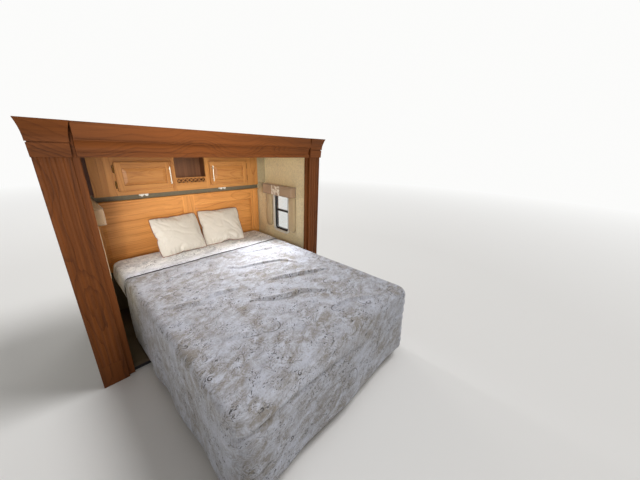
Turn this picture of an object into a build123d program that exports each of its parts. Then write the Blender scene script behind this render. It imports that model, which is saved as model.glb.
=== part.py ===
"""Bed slide-out of a fifth wheel trailer: the room box, its fascia, overhead cabinet, headboard and bed.

Millimetres. X runs along the fascia, Y from the bed's foot towards the outer wall, Z up.
The origin is the middle of the whole piece on the floor that it stands on.
"""
from build123d import *
import math
import os

# Room box
OPENING_HALF = 884.0  # middle plane to the edge of the fascia's opening
REVEAL = 13.0  # how far the side walls stand back behind that edge
SIDE_WALL = 40.0
ROOM_DEPTH = 920.0  # casing's face to the inner face of the outer wall
OUTER_WALL = 40.0
FLOOR_PANEL = 50.0
CEILING_LIFT = 8.0  # underside of the roof panel above the header's lower edge
ROOF_PANEL = 45.0
FLANGE = 45.0  # how far the outer wall laps past the box
TRIM = 3.0
TRIM_LEG = 30.0
SEAL_WIDTH = 30.0
SEAL_DEPTH = 12.0
SEAL_GAP = 8.0

# Gear racks on the side walls
RACK_HEIGHT = 60.0
RACK_THICK = 10.0
RACK_BASE = 280.0
RACK_MARGIN = 40.0
TOOTH_PITCH = 16.0
TOOTH_DEPTH = 7.0

# Fascia
CASING = 18.0
CASING_STRIP = 38.0  # casing left bare beside the pilaster
PILASTER = 152.0
PILASTER_THICK = 20.0
FLUTES = 4
FLUTE_PITCH = 32.0
FLUTE_RADIUS = 14.0
FLUTE_DEPTH = 4.5
PLINTH = 170.0
HEADER_BASE = 1552.0
HEADER_HEIGHT = 185.0
HEADER_REACH = 60.0
LIP_REACH = 34.0
LIP_HEIGHT = 26.0
BAND_REACH = 24.0
BAND_TOP = 50.0
COVE_SAG = 6.0
COVE_REACH = 48.0
COVE_TOP = 88.0
BOARD_BASE = 98.0
CORBEL_OVERLAP = 24.0  # how far a corbel's top laps past the pilaster's edges
CORBEL_REACH = 75.0

# Windows in the side walls
WINDOW_CENTRE = 430.0  # from the casing's face
WINDOW_WIDTH = 260.0
WINDOW_HEIGHT = 498.0
WINDOW_BASE = 662.0
WINDOW_CORNER = 38.0
FRAME_WIDTH = 22.0
FRAME_LAP = 20.0
FRAME_FLANGE = 4.0
FRAME_INSET = 10.0
BAR_HEIGHT = 24.0
GLASS = 4.0
LINER_WIDTH = 25.0
LINER_THICK = 5.0

# Upholstered window surround
VALANCE_DROP = 46.0  # how far the valance hangs below the window's top
VALANCE_HEIGHT = 104.0
VALANCE_DEPTH = 81.0
VALANCE_WALL = 18.0
LEG_GAP = 10.0  # air between a leg and the liner ring
LEG_WIDTH = 99.0
LEG_THICK = 36.0
LEG_LIFT = 28.0
LEG_CORNER = 40.0

# Overhead cabinet
FILLER_WIDTH = 113.0
CABINET_DEPTH = 182.0
CABINET_BASE = 1204.0
FACE_FRAME = 19.0
BOARD = 15.0
BACK_BOARD = 6.0
FILLER_LIFT = 22.0
DOOR_INNER = 185.0  # middle plane to a door's inner edge
OUTER_STILE = 164.0  # face frame left bare outside a door
STILE_REEDS = (0.38, 0.63)  # where its grooves run, as shares of its width
REED_WIDTH = 5.0
REED_DEPTH = 3.0
DOOR_LIFT = 38.0  # a door's lower edge above the cabinet's underside
DOOR_HEIGHT = 242.0
DOOR_THICK = 20.0
DOOR_GAP = 8.0
DOOR_LAP = 10.0
STILE = 50.0
PANEL_GROOVE = 8.0
PANEL_BEVEL = 28.0
CUBBY_HALF = 147.0
CUBBY_LIFT = 66.0
CUBBY_HEAD = 28.0  # face frame left above the cubby
CUBBY_CORNER = 36.0
RAIL_HEIGHT = 59.0
RAIL_THICK = 8.0
RAIL_EDGE = 9.0
LATTICE_BAR = 5.0
LATTICE_CELLS = 7

# Pulls and hinges
PULL_LENGTH = 156.0
PULL_RADIUS = 5.0
PULL_POST = 4.0
PULL_REACH = 27.0
PULL_INSET = 22.0
HINGE_OFFSET = 6.0
HINGE_HEIGHT = 60.0
HINGE_MARGIN = 26.0
KNUCKLE = 5.0
PIN = 2.5
PIN_CLEARANCE = 0.08
KNUCKLE_GAP = 0.8
LEAF = 2.0
LEAF_WIDTH = 18.0

# Headboard
HEADBOARD_GAP = 17.0  # air between the headboard and a side wall
HEADBOARD_BASE = 470.0
HEADBOARD_TOP = 1120.0
HEADBOARD_THICK = 24.0
HEAD_STILE = 109.0
HEAD_CENTRE = 62.0
HEAD_RAIL = 110.0
HEAD_LOW_RAIL = 90.0
CAP_HEIGHT = 15.0
CAP_REACH = 12.0
CAP_END = 4.0
PANEL_BACK = 2.0
HEAD_REEDS = (0.22, 0.8)  # as shares of an end stile's width

# Reading lamps
LAMP_X = 400.0
LAMP_DROP = 18.0
LAMP_BAR = 76.0
LAMP_PLATE = 8.0
LAMP_HEAD = 13.0
LAMP_REACH = 26.0
LAMP_TAPER = 4.0

# Bed
MATTRESS_WIDTH = 1524.0
MATTRESS_LENGTH = 2110.0
MATTRESS_THICK = 203.0
MATTRESS_GAP = 113.0  # outer wall to the mattress's head end
MATTRESS_CORNER = 70.0
MATTRESS_EDGE = 25.0
DECK = 18.0
DECK_TOP = 395.0
BASE_INSET = 72.0
BASE_FOOT_INSET = 90.0
BASE_BOARD = 18.0
QUILT = 14.0
SIDE_FLARE = 19.0
FOOT_FLARE = 27.0
QUILT_HEM = 92.0
COVER_LENGTH = 470.0  # how far the head cover reaches down the bed
COVER_END_GAP = 88.0
COVER_LIFT = 20.0
PILLOW_WIDTH = 440.0
PILLOW_HEIGHT = 395.0
PILLOW_THICK = 120.0
PILLOW_ROUND = 50.0
PILLOW_LEAN = 58.0
SOFT_GAP = 0.4  # air left round the soft pieces
FIT = 0.3  # air left round a piece that slips into another

# Places worked out from the sizes
SIDES = (("left", -1), ("right", 1))
WALL_HALF = OPENING_HALF + REVEAL
CEILING = HEADER_BASE + CEILING_LIFT
hem_reach = MATTRESS_GAP + MATTRESS_LENGTH - ROOM_DEPTH + SOFT_GAP + QUILT + FOOT_FLARE
box_reach = ROOM_DEPTH + OUTER_WALL + TRIM
FACE_Y = (hem_reach - box_reach) / 2
WALL_Y = FACE_Y + ROOM_DEPTH
BOX_Y = FACE_Y + CASING
BOX_HALF = WALL_HALF + SIDE_WALL
ROOF = CEILING + ROOF_PANEL
HEADER_TOP = HEADER_BASE + HEADER_HEIGHT
PILASTER_INNER = OPENING_HALF + CASING_STRIP
PILASTER_OUTER = PILASTER_INNER + PILASTER
window_y = FACE_Y + WINDOW_CENTRE
window_z = WINDOW_BASE + WINDOW_HEIGHT / 2
VALANCE_HALF = WINDOW_WIDTH / 2 + LINER_WIDTH + LEG_GAP + LEG_WIDTH
VALANCE_BASE = WINDOW_BASE + WINDOW_HEIGHT - VALANCE_DROP
LEG_BASE = WINDOW_BASE + LEG_LIFT
CABINET_HALF = WALL_HALF - FILLER_WIDTH
door_outer = CABINET_HALF - OUTER_STILE
DOOR_WIDTH = door_outer - DOOR_INNER
DOOR_BASE = CABINET_BASE + DOOR_LIFT
door_z = DOOR_BASE + DOOR_HEIGHT / 2
CUBBY_BASE = CABINET_BASE + CUBBY_LIFT
CUBBY_TOP = CEILING - CUBBY_HEAD
cabinet_y = WALL_Y - CABINET_DEPTH
door_back = cabinet_y - DOOR_GAP
door_front = door_back - DOOR_THICK
hinge_x = door_outer + HINGE_OFFSET
hinge_y = door_back - DOOR_THICK / 2
HEADBOARD_HALF = WALL_HALF - HEADBOARD_GAP
headboard_y = WALL_Y - HEADBOARD_THICK
mattress_head = WALL_Y - MATTRESS_GAP
mattress_y = mattress_head - MATTRESS_LENGTH / 2
mattress_foot = mattress_head - MATTRESS_LENGTH
mattress_top = DECK_TOP + MATTRESS_THICK
bed_top = mattress_top + SOFT_GAP + QUILT
cover_end = WALL_Y - COVER_END_GAP
cover_start = cover_end - COVER_LENGTH

os.makedirs("parts", exist_ok=True)


def keep(part, name):
    """Name a finished piece and write it to its own file."""
    part.label = name
    export_step(part, f"parts/{name}.step")


def block(x0, x1, y0, y1, z0, z1, mode=Mode.ADD):
    """Box between two corners, in the part that is being built."""
    with Locations(((x0 + x1) / 2, (y0 + y1) / 2, (z0 + z1) / 2)):
        Box(abs(x1 - x0), abs(y1 - y0), abs(z1 - z0), mode=mode)


def side_plane(x, sign):
    """Plane at X, facing away from the middle: its x runs along Y and its y up."""
    return Plane(origin=(x, 0, 0), x_dir=(0, sign, 0), z_dir=(sign, 0, 0))


def front_plane(y):
    """Plane at Y, facing the room: its x runs along X and its y up."""
    return Plane(origin=(0, y, 0), x_dir=(1, 0, 0), z_dir=(0, -1, 0))


# Room box
with BuildPart() as floor_panel:
    block(-BOX_HALF, BOX_HALF, BOX_Y, WALL_Y, 0, FLOOR_PANEL)
keep(floor_panel.part, "floor_panel")

with BuildPart() as roof_panel:
    block(-BOX_HALF, BOX_HALF, BOX_Y, WALL_Y, CEILING, ROOF)
keep(roof_panel.part, "roof_panel")

for side, sign in SIDES:
    with BuildPart() as side_wall:
        block(sign * WALL_HALF, sign * BOX_HALF, BOX_Y, WALL_Y, FLOOR_PANEL, CEILING)
        with BuildSketch(side_plane(sign * WALL_HALF, sign)):
            with Locations((sign * window_y, window_z)):
                RectangleRounded(WINDOW_WIDTH, WINDOW_HEIGHT, WINDOW_CORNER)
        extrude(amount=SIDE_WALL, mode=Mode.SUBTRACT)
    keep(side_wall.part, f"side_wall_{side}")

with BuildPart() as outer_wall:
    block(-BOX_HALF - FLANGE, BOX_HALF + FLANGE, WALL_Y, WALL_Y + OUTER_WALL, 0, ROOF + FLANGE)
keep(outer_wall.part, "outer_wall")

# The trim and the seal run up one side, over the top and down the other
trim_half = BOX_HALF + FLANGE + TRIM
trim_top = ROOF + FLANGE + TRIM
with BuildPart() as corner_trim:
    block(-trim_half, trim_half, WALL_Y + OUTER_WALL - TRIM_LEG, WALL_Y + OUTER_WALL + TRIM, 0, trim_top)
    block(-trim_half + TRIM, trim_half - TRIM, WALL_Y, WALL_Y + OUTER_WALL, 0, trim_top - TRIM, Mode.SUBTRACT)
    block(-trim_half + TRIM_LEG, trim_half - TRIM_LEG, WALL_Y, WALL_Y + OUTER_WALL + TRIM,
          0, trim_top - TRIM_LEG, Mode.SUBTRACT)
keep(corner_trim.part, "corner_trim")

seal_inner = BOX_HALF + SEAL_GAP
with BuildPart() as bulb_seal:
    block(-seal_inner - SEAL_WIDTH, seal_inner + SEAL_WIDTH, WALL_Y - SEAL_DEPTH, WALL_Y,
          0, ROOF + SEAL_GAP + SEAL_WIDTH)
    outside = bulb_seal.edges().filter_by(Axis.Z).group_by(Axis.Y)[0]
    outside += bulb_seal.edges().filter_by(Axis.X).group_by(Axis.Y)[0].sort_by(Axis.Z)[-1:]
    fillet(outside, SEAL_DEPTH / 2)
    block(-seal_inner, seal_inner, WALL_Y - SEAL_DEPTH, WALL_Y, 0, ROOF + SEAL_GAP, Mode.SUBTRACT)
keep(bulb_seal.part, "bulb_seal")

# A rack is a bar with teeth along its lower edge
rack_start = BOX_Y + RACK_MARGIN
rack_end = WALL_Y - SEAL_DEPTH - RACK_MARGIN
teeth = int((rack_end - rack_start) / TOOTH_PITCH)
with BuildPart() as gear_racks:
    for side, sign in SIDES:
        with BuildSketch(Plane(origin=(sign * BOX_HALF, 0, 0), x_dir=(0, 1, 0), z_dir=(1, 0, 0))):
            with BuildLine():
                edge = [(rack_start, RACK_BASE)]
                for tooth in range(teeth):
                    y = rack_start + tooth * TOOTH_PITCH
                    edge += [(y + TOOTH_PITCH * 0.22, RACK_BASE), (y + TOOTH_PITCH * 0.38, RACK_BASE - TOOTH_DEPTH),
                             (y + TOOTH_PITCH * 0.62, RACK_BASE - TOOTH_DEPTH), (y + TOOTH_PITCH * 0.78, RACK_BASE)]
                edge += [(rack_end, RACK_BASE), (rack_end, RACK_BASE + RACK_HEIGHT),
                         (rack_start, RACK_BASE + RACK_HEIGHT)]
                Polyline(*edge, close=True)
            make_face()
        extrude(amount=sign * RACK_THICK)
keep(gear_racks.part, "gear_racks")

# Fascia: casings, pilasters, header and corbels
with BuildPart() as side_casings:
    for side, sign in SIDES:
        block(sign * OPENING_HALF, sign * PILASTER_OUTER, FACE_Y, BOX_Y, 0, HEADER_BASE)
    inner = side_casings.edges().filter_by(Axis.Z).group_by(Axis.Y)[0].filter_by_position(
        Axis.X, -OPENING_HALF, OPENING_HALF)
    fillet(inner, CASING / 4)
keep(side_casings.part, "side_casings")

with BuildPart() as head_casing:
    block(-PILASTER_OUTER, PILASTER_OUTER, FACE_Y, BOX_Y, HEADER_BASE, HEADER_TOP)
keep(head_casing.part, "head_casing")

for side, sign in SIDES:
    middle = sign * (PILASTER_INNER + PILASTER_OUTER) / 2
    with BuildPart() as pilaster:
        block(middle - PILASTER / 2, middle + PILASTER / 2, FACE_Y - PILASTER_THICK, FACE_Y, 0, HEADER_BASE)
        corners = pilaster.edges().filter_by(Axis.Z).group_by(Axis.Y)[0]
        chamfer(corners, PILASTER_THICK / 6)
        cutter = FACE_Y - PILASTER_THICK - FLUTE_RADIUS + FLUTE_DEPTH
        with BuildSketch(Plane.XY.offset(PLINTH)):
            with Locations((middle, cutter)):
                with GridLocations(FLUTE_PITCH, 1, FLUTES, 1):
                    Circle(FLUTE_RADIUS)
        extrude(amount=HEADER_BASE - PLINTH, mode=Mode.SUBTRACT)
    keep(pilaster.part, f"pilaster_{side}")

corbel_inner = PILASTER_INNER - CORBEL_OVERLAP
with BuildPart() as header:
    with BuildSketch(Plane(origin=(-corbel_inner, FACE_Y, HEADER_BASE), x_dir=(0, -1, 0), z_dir=(-1, 0, 0))):
        with BuildLine():
            Polyline((0, HEADER_HEIGHT), (0, 0), (LIP_REACH, 0), (LIP_REACH, LIP_HEIGHT),
                     (BAND_REACH, LIP_HEIGHT), (BAND_REACH, BAND_TOP))
            cove_middle = ((BAND_REACH + COVE_REACH) / 2 - COVE_SAG, (BAND_TOP + COVE_TOP) / 2)
            ThreePointArc((BAND_REACH, BAND_TOP), cove_middle, (COVE_REACH, COVE_TOP))
            Polyline((COVE_REACH, COVE_TOP), (COVE_REACH, BOARD_BASE), (HEADER_REACH, BOARD_BASE),
                     (HEADER_REACH, HEADER_HEIGHT), (0, HEADER_HEIGHT))
        make_face()
    extrude(amount=-2 * corbel_inner)
keep(header.part, "header")

# A corbel is a plain block, a groove and a flared top. Each section: its height as a share of the
# header's, how much of the full overlap its sides have, and its front's reach as a share
TIERS = (
    ((0.0, 0.15, 0.43), (0.39, 0.22, 0.50)),
    ((0.39, 0.0, 0.38), (0.42, 0.0, 0.38)),
    ((0.42, 0.30, 0.56), (0.62, 0.36, 0.62), (0.82, 0.60, 0.80), (1.0, 1.0, 1.0)),
)
with BuildPart() as corbels:
    for side, sign in SIDES:
        middle = sign * (PILASTER_INNER + PILASTER_OUTER) / 2
        for tier in TIERS:
            for height, overlap, reach in tier:
                with BuildSketch(Plane.XY.offset(HEADER_BASE + height * HEADER_HEIGHT)):
                    with Locations((middle, FACE_Y - reach * CORBEL_REACH / 2)):
                        Rectangle(PILASTER + 2 * overlap * CORBEL_OVERLAP, reach * CORBEL_REACH)
            loft(ruled=len(tier) == 2)
keep(corbels.part, "corbels")

# Windows and their surrounds
for side, sign in SIDES:
    with BuildPart() as window_frame:
        with BuildSketch(side_plane(sign * (WALL_HALF + FRAME_INSET), sign)):
            with Locations((sign * window_y, window_z)):
                RectangleRounded(WINDOW_WIDTH - 2 * FIT, WINDOW_HEIGHT - 2 * FIT, WINDOW_CORNER - FIT)
        extrude(amount=SIDE_WALL - FRAME_INSET)
        with BuildSketch(side_plane(sign * BOX_HALF, sign)):
            with Locations((sign * window_y, window_z)):
                RectangleRounded(WINDOW_WIDTH + 2 * FRAME_LAP, WINDOW_HEIGHT + 2 * FRAME_LAP,
                                 WINDOW_CORNER + FRAME_LAP)
        extrude(amount=FRAME_FLANGE)
        with BuildSketch(side_plane(sign * (WALL_HALF + FRAME_INSET), sign)):
            with Locations((sign * window_y, window_z)):
                RectangleRounded(WINDOW_WIDTH - 2 * FRAME_WIDTH, WINDOW_HEIGHT - 2 * FRAME_WIDTH,
                                 WINDOW_CORNER - FRAME_WIDTH / 2)
        extrude(amount=SIDE_WALL, mode=Mode.SUBTRACT)
        block(sign * (WALL_HALF + FRAME_INSET), sign * (BOX_HALF - FRAME_INSET),
              window_y - WINDOW_WIDTH / 2 + FRAME_WIDTH, window_y + WINDOW_WIDTH / 2 - FRAME_WIDTH,
              window_z - BAR_HEIGHT / 2, window_z + BAR_HEIGHT / 2)
    keep(window_frame.part, f"window_frame_{side}")

pane_x = WALL_HALF + SIDE_WALL / 2
with BuildPart() as window_glass:
    for side, sign in SIDES:
        with BuildSketch(side_plane(sign * (pane_x - GLASS / 2), sign)):
            with Locations((sign * window_y, window_z)):
                RectangleRounded(WINDOW_WIDTH - 2 * FRAME_WIDTH, WINDOW_HEIGHT - 2 * FRAME_WIDTH,
                                 WINDOW_CORNER - FRAME_WIDTH / 2)
                Rectangle(WINDOW_WIDTH, BAR_HEIGHT, mode=Mode.SUBTRACT)
        extrude(amount=GLASS)
keep(window_glass.part, "window_glass")

with BuildPart() as window_liners:
    for side, sign in SIDES:
        with BuildSketch(side_plane(sign * (WALL_HALF - LINER_THICK), sign)):
            with Locations((sign * window_y, window_z)):
                RectangleRounded(WINDOW_WIDTH + 2 * LINER_WIDTH, WINDOW_HEIGHT + 2 * LINER_WIDTH,
                                 WINDOW_CORNER + LINER_WIDTH)
                RectangleRounded(WINDOW_WIDTH, WINDOW_HEIGHT, WINDOW_CORNER, mode=Mode.SUBTRACT)
        extrude(amount=LINER_THICK)
keep(window_liners.part, "window_liners")

for side, sign in SIDES:
    valance_front = WALL_HALF - VALANCE_DEPTH
    with BuildPart() as valance:
        block(sign * valance_front, sign * WALL_HALF, window_y - VALANCE_HALF, window_y + VALANCE_HALF,
              VALANCE_BASE, VALANCE_BASE + VALANCE_HEIGHT)
        room_face = valance.faces().sort_by(Axis.X)[0 if sign > 0 else -1]
        fillet(room_face.edges().filter_by(Axis.Z), VALANCE_WALL)
        fillet(valance.edges().group_by(Axis.Z)[-1].filter_by(Axis.Y).sort_by(Axis.X)[0 if sign > 0 else -1],
               VALANCE_WALL / 2)
        hollow_x = sorted((sign * (valance_front + VALANCE_WALL), sign * (WALL_HALF - LINER_THICK - FIT)))
        block(hollow_x[0], hollow_x[1], window_y - VALANCE_HALF + VALANCE_WALL,
              window_y + VALANCE_HALF - VALANCE_WALL, VALANCE_BASE,
              VALANCE_BASE + VALANCE_HEIGHT - VALANCE_WALL, Mode.SUBTRACT)
        liner_half = WINDOW_WIDTH / 2 + LINER_WIDTH + FIT
        block(sign * (WALL_HALF - LINER_THICK - FIT), sign * WALL_HALF, window_y - liner_half,
              window_y + liner_half, VALANCE_BASE, window_z + WINDOW_HEIGHT / 2 + LINER_WIDTH + FIT,
              Mode.SUBTRACT)
    keep(valance.part, f"valance_{side}")

    with BuildPart() as valance_legs:
        with BuildSketch(side_plane(sign * (WALL_HALF - LEG_THICK), sign)):
            for end in (-1, 1):
                with Locations((sign * (window_y + end * (VALANCE_HALF - LEG_WIDTH / 2)),
                                (LEG_BASE + VALANCE_BASE) / 2)):
                    Rectangle(LEG_WIDTH, VALANCE_BASE - LEG_BASE)
            fillet(vertices().group_by(Axis.Y)[0], LEG_CORNER)
        extrude(amount=LEG_THICK)
    keep(valance_legs.part, f"valance_legs_{side}")

# Overhead cabinet
with BuildPart() as cabinet_carcass:
    box_front = cabinet_y + FACE_FRAME
    for x in (-CABINET_HALF + BOARD / 2, -DOOR_INNER + BOARD / 2, DOOR_INNER - BOARD / 2, CABINET_HALF - BOARD / 2):
        block(x - BOARD / 2, x + BOARD / 2, box_front, WALL_Y, CABINET_BASE, CEILING)
    for z in (CABINET_BASE, CEILING - BOARD):
        block(-CABINET_HALF, CABINET_HALF, box_front, WALL_Y, z, z + BOARD)
    block(-DOOR_INNER, DOOR_INNER, box_front, WALL_Y, CUBBY_BASE - BOARD, CUBBY_BASE)
    block(-CABINET_HALF, CABINET_HALF, WALL_Y - BACK_BOARD, WALL_Y, CABINET_BASE, CEILING)
keep(cabinet_carcass.part, "cabinet_carcass")

with BuildPart() as cabinet_face_frame:
    with BuildSketch(front_plane(cabinet_y + FACE_FRAME)):
        with Locations((0, (CABINET_BASE + CEILING) / 2)):
            Rectangle(2 * CABINET_HALF, CEILING - CABINET_BASE)
        for side, sign in SIDES:
            with Locations((sign * (DOOR_INNER + DOOR_WIDTH / 2), door_z)):
                Rectangle(DOOR_WIDTH - 2 * DOOR_LAP, DOOR_HEIGHT - 2 * DOOR_LAP, mode=Mode.SUBTRACT)
        with Locations((0, (CUBBY_BASE + CUBBY_TOP) / 2)):
            Rectangle(2 * CUBBY_HALF, CUBBY_TOP - CUBBY_BASE, mode=Mode.SUBTRACT)
        cubby_corners = vertices().filter_by_position(Axis.X, -CUBBY_HALF, CUBBY_HALF).group_by(Axis.Y)[-1]
        fillet(cubby_corners, CUBBY_CORNER)
    extrude(amount=FACE_FRAME)
    for side, sign in SIDES:
        for share in STILE_REEDS:
            x = door_outer + share * OUTER_STILE
            block(sign * x, sign * (x + REED_WIDTH), cabinet_y, cabinet_y + REED_DEPTH,
                  CABINET_BASE, CEILING, Mode.SUBTRACT)
keep(cabinet_face_frame.part, "cabinet_face_frame")

with BuildPart() as filler_strips:
    for side, sign in SIDES:
        block(sign * CABINET_HALF, sign * WALL_HALF, cabinet_y, cabinet_y + FACE_FRAME,
              CABINET_BASE + FILLER_LIFT, CEILING)
keep(filler_strips.part, "filler_strips")

with BuildPart() as gallery_rail:
    with BuildSketch(front_plane(cabinet_y + (FACE_FRAME + RAIL_THICK) / 2)):
        with Locations((0, CUBBY_BASE + RAIL_HEIGHT / 2)):
            Rectangle(2 * (CUBBY_HALF - FIT), RAIL_HEIGHT)
            hole_w = 2 * (CUBBY_HALF - FIT - RAIL_EDGE)
            hole_h = RAIL_HEIGHT - 2 * RAIL_EDGE
            Rectangle(hole_w, hole_h, mode=Mode.SUBTRACT)
            cell = hole_w / LATTICE_CELLS
            slope = math.degrees(math.atan2(hole_h, cell))
            bar = math.hypot(hole_h, cell)
            with GridLocations(cell, 1, LATTICE_CELLS, 1):
                for turn in (slope, -slope):
                    Rectangle(bar, LATTICE_BAR, rotation=turn)
    extrude(amount=RAIL_THICK)
keep(gallery_rail.part, "gallery_rail")

for side, sign in SIDES:
    middle = sign * (DOOR_INNER + DOOR_WIDTH / 2)
    with BuildPart() as door:
        block(middle - DOOR_WIDTH / 2, middle + DOOR_WIDTH / 2, door_front, door_back,
              DOOR_BASE, DOOR_BASE + DOOR_HEIGHT)
        chamfer(door.faces().sort_by(Axis.Y)[0].edges(), 3)
        panel_w = DOOR_WIDTH - 2 * STILE
        panel_h = DOOR_HEIGHT - 2 * STILE
        with BuildSketch(front_plane(door_front + PANEL_GROOVE)):
            with Locations((middle, door_z)):
                Rectangle(panel_w, panel_h)
        extrude(amount=PANEL_GROOVE, mode=Mode.SUBTRACT)
        for depth, inset in ((PANEL_GROOVE, 4), (2, PANEL_BEVEL)):
            with BuildSketch(front_plane(door_front + depth)):
                with Locations((middle, door_z)):
                    Rectangle(panel_w - 2 * inset, panel_h - 2 * inset)
        loft(ruled=True)
    keep(door.part, f"cabinet_door_{side}")

    pull_x = sign * (DOOR_INNER + PULL_INSET)
    bar_y = door_front - PULL_REACH
    with BuildPart() as pull:
        with BuildSketch(Plane.XY.offset(door_z - PULL_LENGTH / 2)):
            with Locations((pull_x, bar_y)):
                Circle(PULL_RADIUS)
        extrude(amount=PULL_LENGTH)
        with BuildSketch(front_plane(door_front)):
            with Locations((pull_x, door_z)):
                with GridLocations(1, PULL_LENGTH * 0.72, 1, 2):
                    Circle(PULL_POST)
        extrude(amount=PULL_REACH)
    keep(pull.part, f"door_pull_{side}")

# Butt hinges: the frame leaves lie behind the doors and carry the pins and the outer knuckles
hinge_heights = (DOOR_BASE + HINGE_MARGIN + HINGE_HEIGHT / 2,
                 DOOR_BASE + DOOR_HEIGHT - HINGE_MARGIN - HINGE_HEIGHT / 2)
end_knuckle = HINGE_HEIGHT / 4
with BuildPart() as frame_hinges:
    for side, sign in SIDES:
        for z in hinge_heights:
            low = z - HINGE_HEIGHT / 2
            with BuildSketch(Plane.XY.offset(low)):
                with Locations((sign * hinge_x, hinge_y)):
                    Circle(PIN)
            extrude(amount=HINGE_HEIGHT)
            web_x = hinge_x + KNUCKLE - LEAF
            for start in (low, low + HINGE_HEIGHT - end_knuckle):
                with BuildSketch(Plane.XY.offset(start)):
                    with Locations((sign * hinge_x, hinge_y)):
                        Circle(KNUCKLE)
                extrude(amount=end_knuckle)
                block(sign * web_x, sign * (web_x + LEAF), hinge_y, cabinet_y, start, start + end_knuckle)
            leaf_end = web_x + LEAF
            block(sign * (leaf_end - LEAF_WIDTH), sign * leaf_end, cabinet_y - LEAF, cabinet_y,
                  low, low + HINGE_HEIGHT)
keep(frame_hinges.part, "frame_hinges")

for side, sign in SIDES:
    with BuildPart() as door_hinge:
        for z in hinge_heights:
            length = HINGE_HEIGHT - 2 * end_knuckle - 2 * KNUCKLE_GAP
            with BuildSketch(Plane.XY.offset(z - length / 2)):
                with Locations((sign * hinge_x, hinge_y)):
                    Circle(KNUCKLE)
                with Locations((sign * (door_outer + LEAF / 2), hinge_y)):
                    Rectangle(LEAF, DOOR_THICK * 0.8)
                with Locations((sign * hinge_x, hinge_y)):
                    Circle(PIN + PIN_CLEARANCE, mode=Mode.SUBTRACT)
            extrude(amount=length)
    keep(door_hinge.part, f"door_hinges_{side}")

# Headboard
panel_left = HEAD_CENTRE
panel_right = HEADBOARD_HALF - HEAD_STILE
panel_low = HEADBOARD_BASE + HEAD_LOW_RAIL
panel_high = HEADBOARD_TOP - HEAD_RAIL
with BuildPart() as headboard_frame:
    block(-HEADBOARD_HALF, HEADBOARD_HALF, headboard_y, WALL_Y, HEADBOARD_BASE, HEADBOARD_TOP)
    for side, sign in SIDES:
        block(sign * panel_left, sign * panel_right, headboard_y, WALL_Y, panel_low, panel_high, Mode.SUBTRACT)
        for share in HEAD_REEDS:
            x = panel_right + share * HEAD_STILE
            block(sign * x, sign * (x + REED_WIDTH), headboard_y, headboard_y + REED_DEPTH,
                  HEADBOARD_BASE, HEADBOARD_TOP, Mode.SUBTRACT)
keep(headboard_frame.part, "headboard_frame")

for side, sign in SIDES:
    middle = sign * (panel_left + panel_right) / 2
    width = panel_right - panel_left
    height = panel_high - panel_low
    with BuildPart() as panel:
        block(middle - width / 2, middle + width / 2, headboard_y + PANEL_GROOVE, WALL_Y - PANEL_BACK,
              panel_low, panel_high)
        for depth, inset in ((PANEL_GROOVE, 5), (2, PANEL_BEVEL)):
            with BuildSketch(front_plane(headboard_y + depth)):
                with Locations((middle, (panel_low + panel_high) / 2)):
                    Rectangle(width - 2 * inset, height - 2 * inset)
        loft(ruled=True)
    keep(panel.part, f"headboard_panel_{side}")

with BuildPart() as headboard_cap:
    block(-HEADBOARD_HALF - CAP_END, HEADBOARD_HALF + CAP_END, headboard_y - CAP_REACH, WALL_Y,
          HEADBOARD_TOP, HEADBOARD_TOP + CAP_HEIGHT)
    fillet(headboard_cap.edges().filter_by(Axis.X).group_by(Axis.Y)[0], CAP_HEIGHT * 0.4)
keep(headboard_cap.part, "headboard_cap")

lamp_z = CABINET_BASE - LAMP_DROP - LAMP_HEAD
with BuildPart() as reading_lamps:
    for side, sign in SIDES:
        x = sign * LAMP_X
        block(x - LAMP_BAR / 2, x + LAMP_BAR / 2, WALL_Y - LAMP_PLATE, WALL_Y,
              lamp_z - LAMP_HEAD * 0.7, lamp_z + LAMP_HEAD * 0.7)
        with BuildSketch(front_plane(WALL_Y - LAMP_PLATE)):
            with Locations((x, lamp_z)):
                with GridLocations(LAMP_BAR * 0.55, 1, 2, 1):
                    Circle(LAMP_HEAD)
        extrude(amount=LAMP_REACH, taper=-LAMP_TAPER)
keep(reading_lamps.part, "reading_lamps")

# Bed: a board base that steps up onto the floor panel, a deck and a mattress
base_half = MATTRESS_WIDTH / 2 - BASE_INSET
base_foot = mattress_foot + BASE_FOOT_INSET
base_head = headboard_y - CAP_REACH
base_top = DECK_TOP - DECK
with BuildPart() as base_sides:
    for side, sign in SIDES:
        with BuildSketch(Plane(origin=(sign * base_half, 0, 0), x_dir=(0, 1, 0), z_dir=(1, 0, 0))):
            with BuildLine():
                Polyline((base_foot, 0), (BOX_Y - FIT, 0), (BOX_Y - FIT, FLOOR_PANEL), (base_head, FLOOR_PANEL),
                         (base_head, base_top), (base_foot, base_top), close=True)
            make_face()
        extrude(amount=-sign * BASE_BOARD)
keep(base_sides.part, "base_sides")

with BuildPart() as base_ends:
    inner_half = base_half - BASE_BOARD
    block(-inner_half, inner_half, base_foot, base_foot + BASE_BOARD, 0, base_top)
    block(-inner_half, inner_half, base_head - BASE_BOARD, base_head, FLOOR_PANEL, base_top)
keep(base_ends.part, "base_ends")

with BuildPart() as bed_deck:
    block(-MATTRESS_WIDTH / 2 + FIT, MATTRESS_WIDTH / 2 - FIT, mattress_foot + FIT, base_head, base_top, DECK_TOP)
    fillet(bed_deck.edges().filter_by(Axis.Z).group_by(Axis.Y)[0], MATTRESS_CORNER)
keep(bed_deck.part, "bed_deck")

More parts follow.
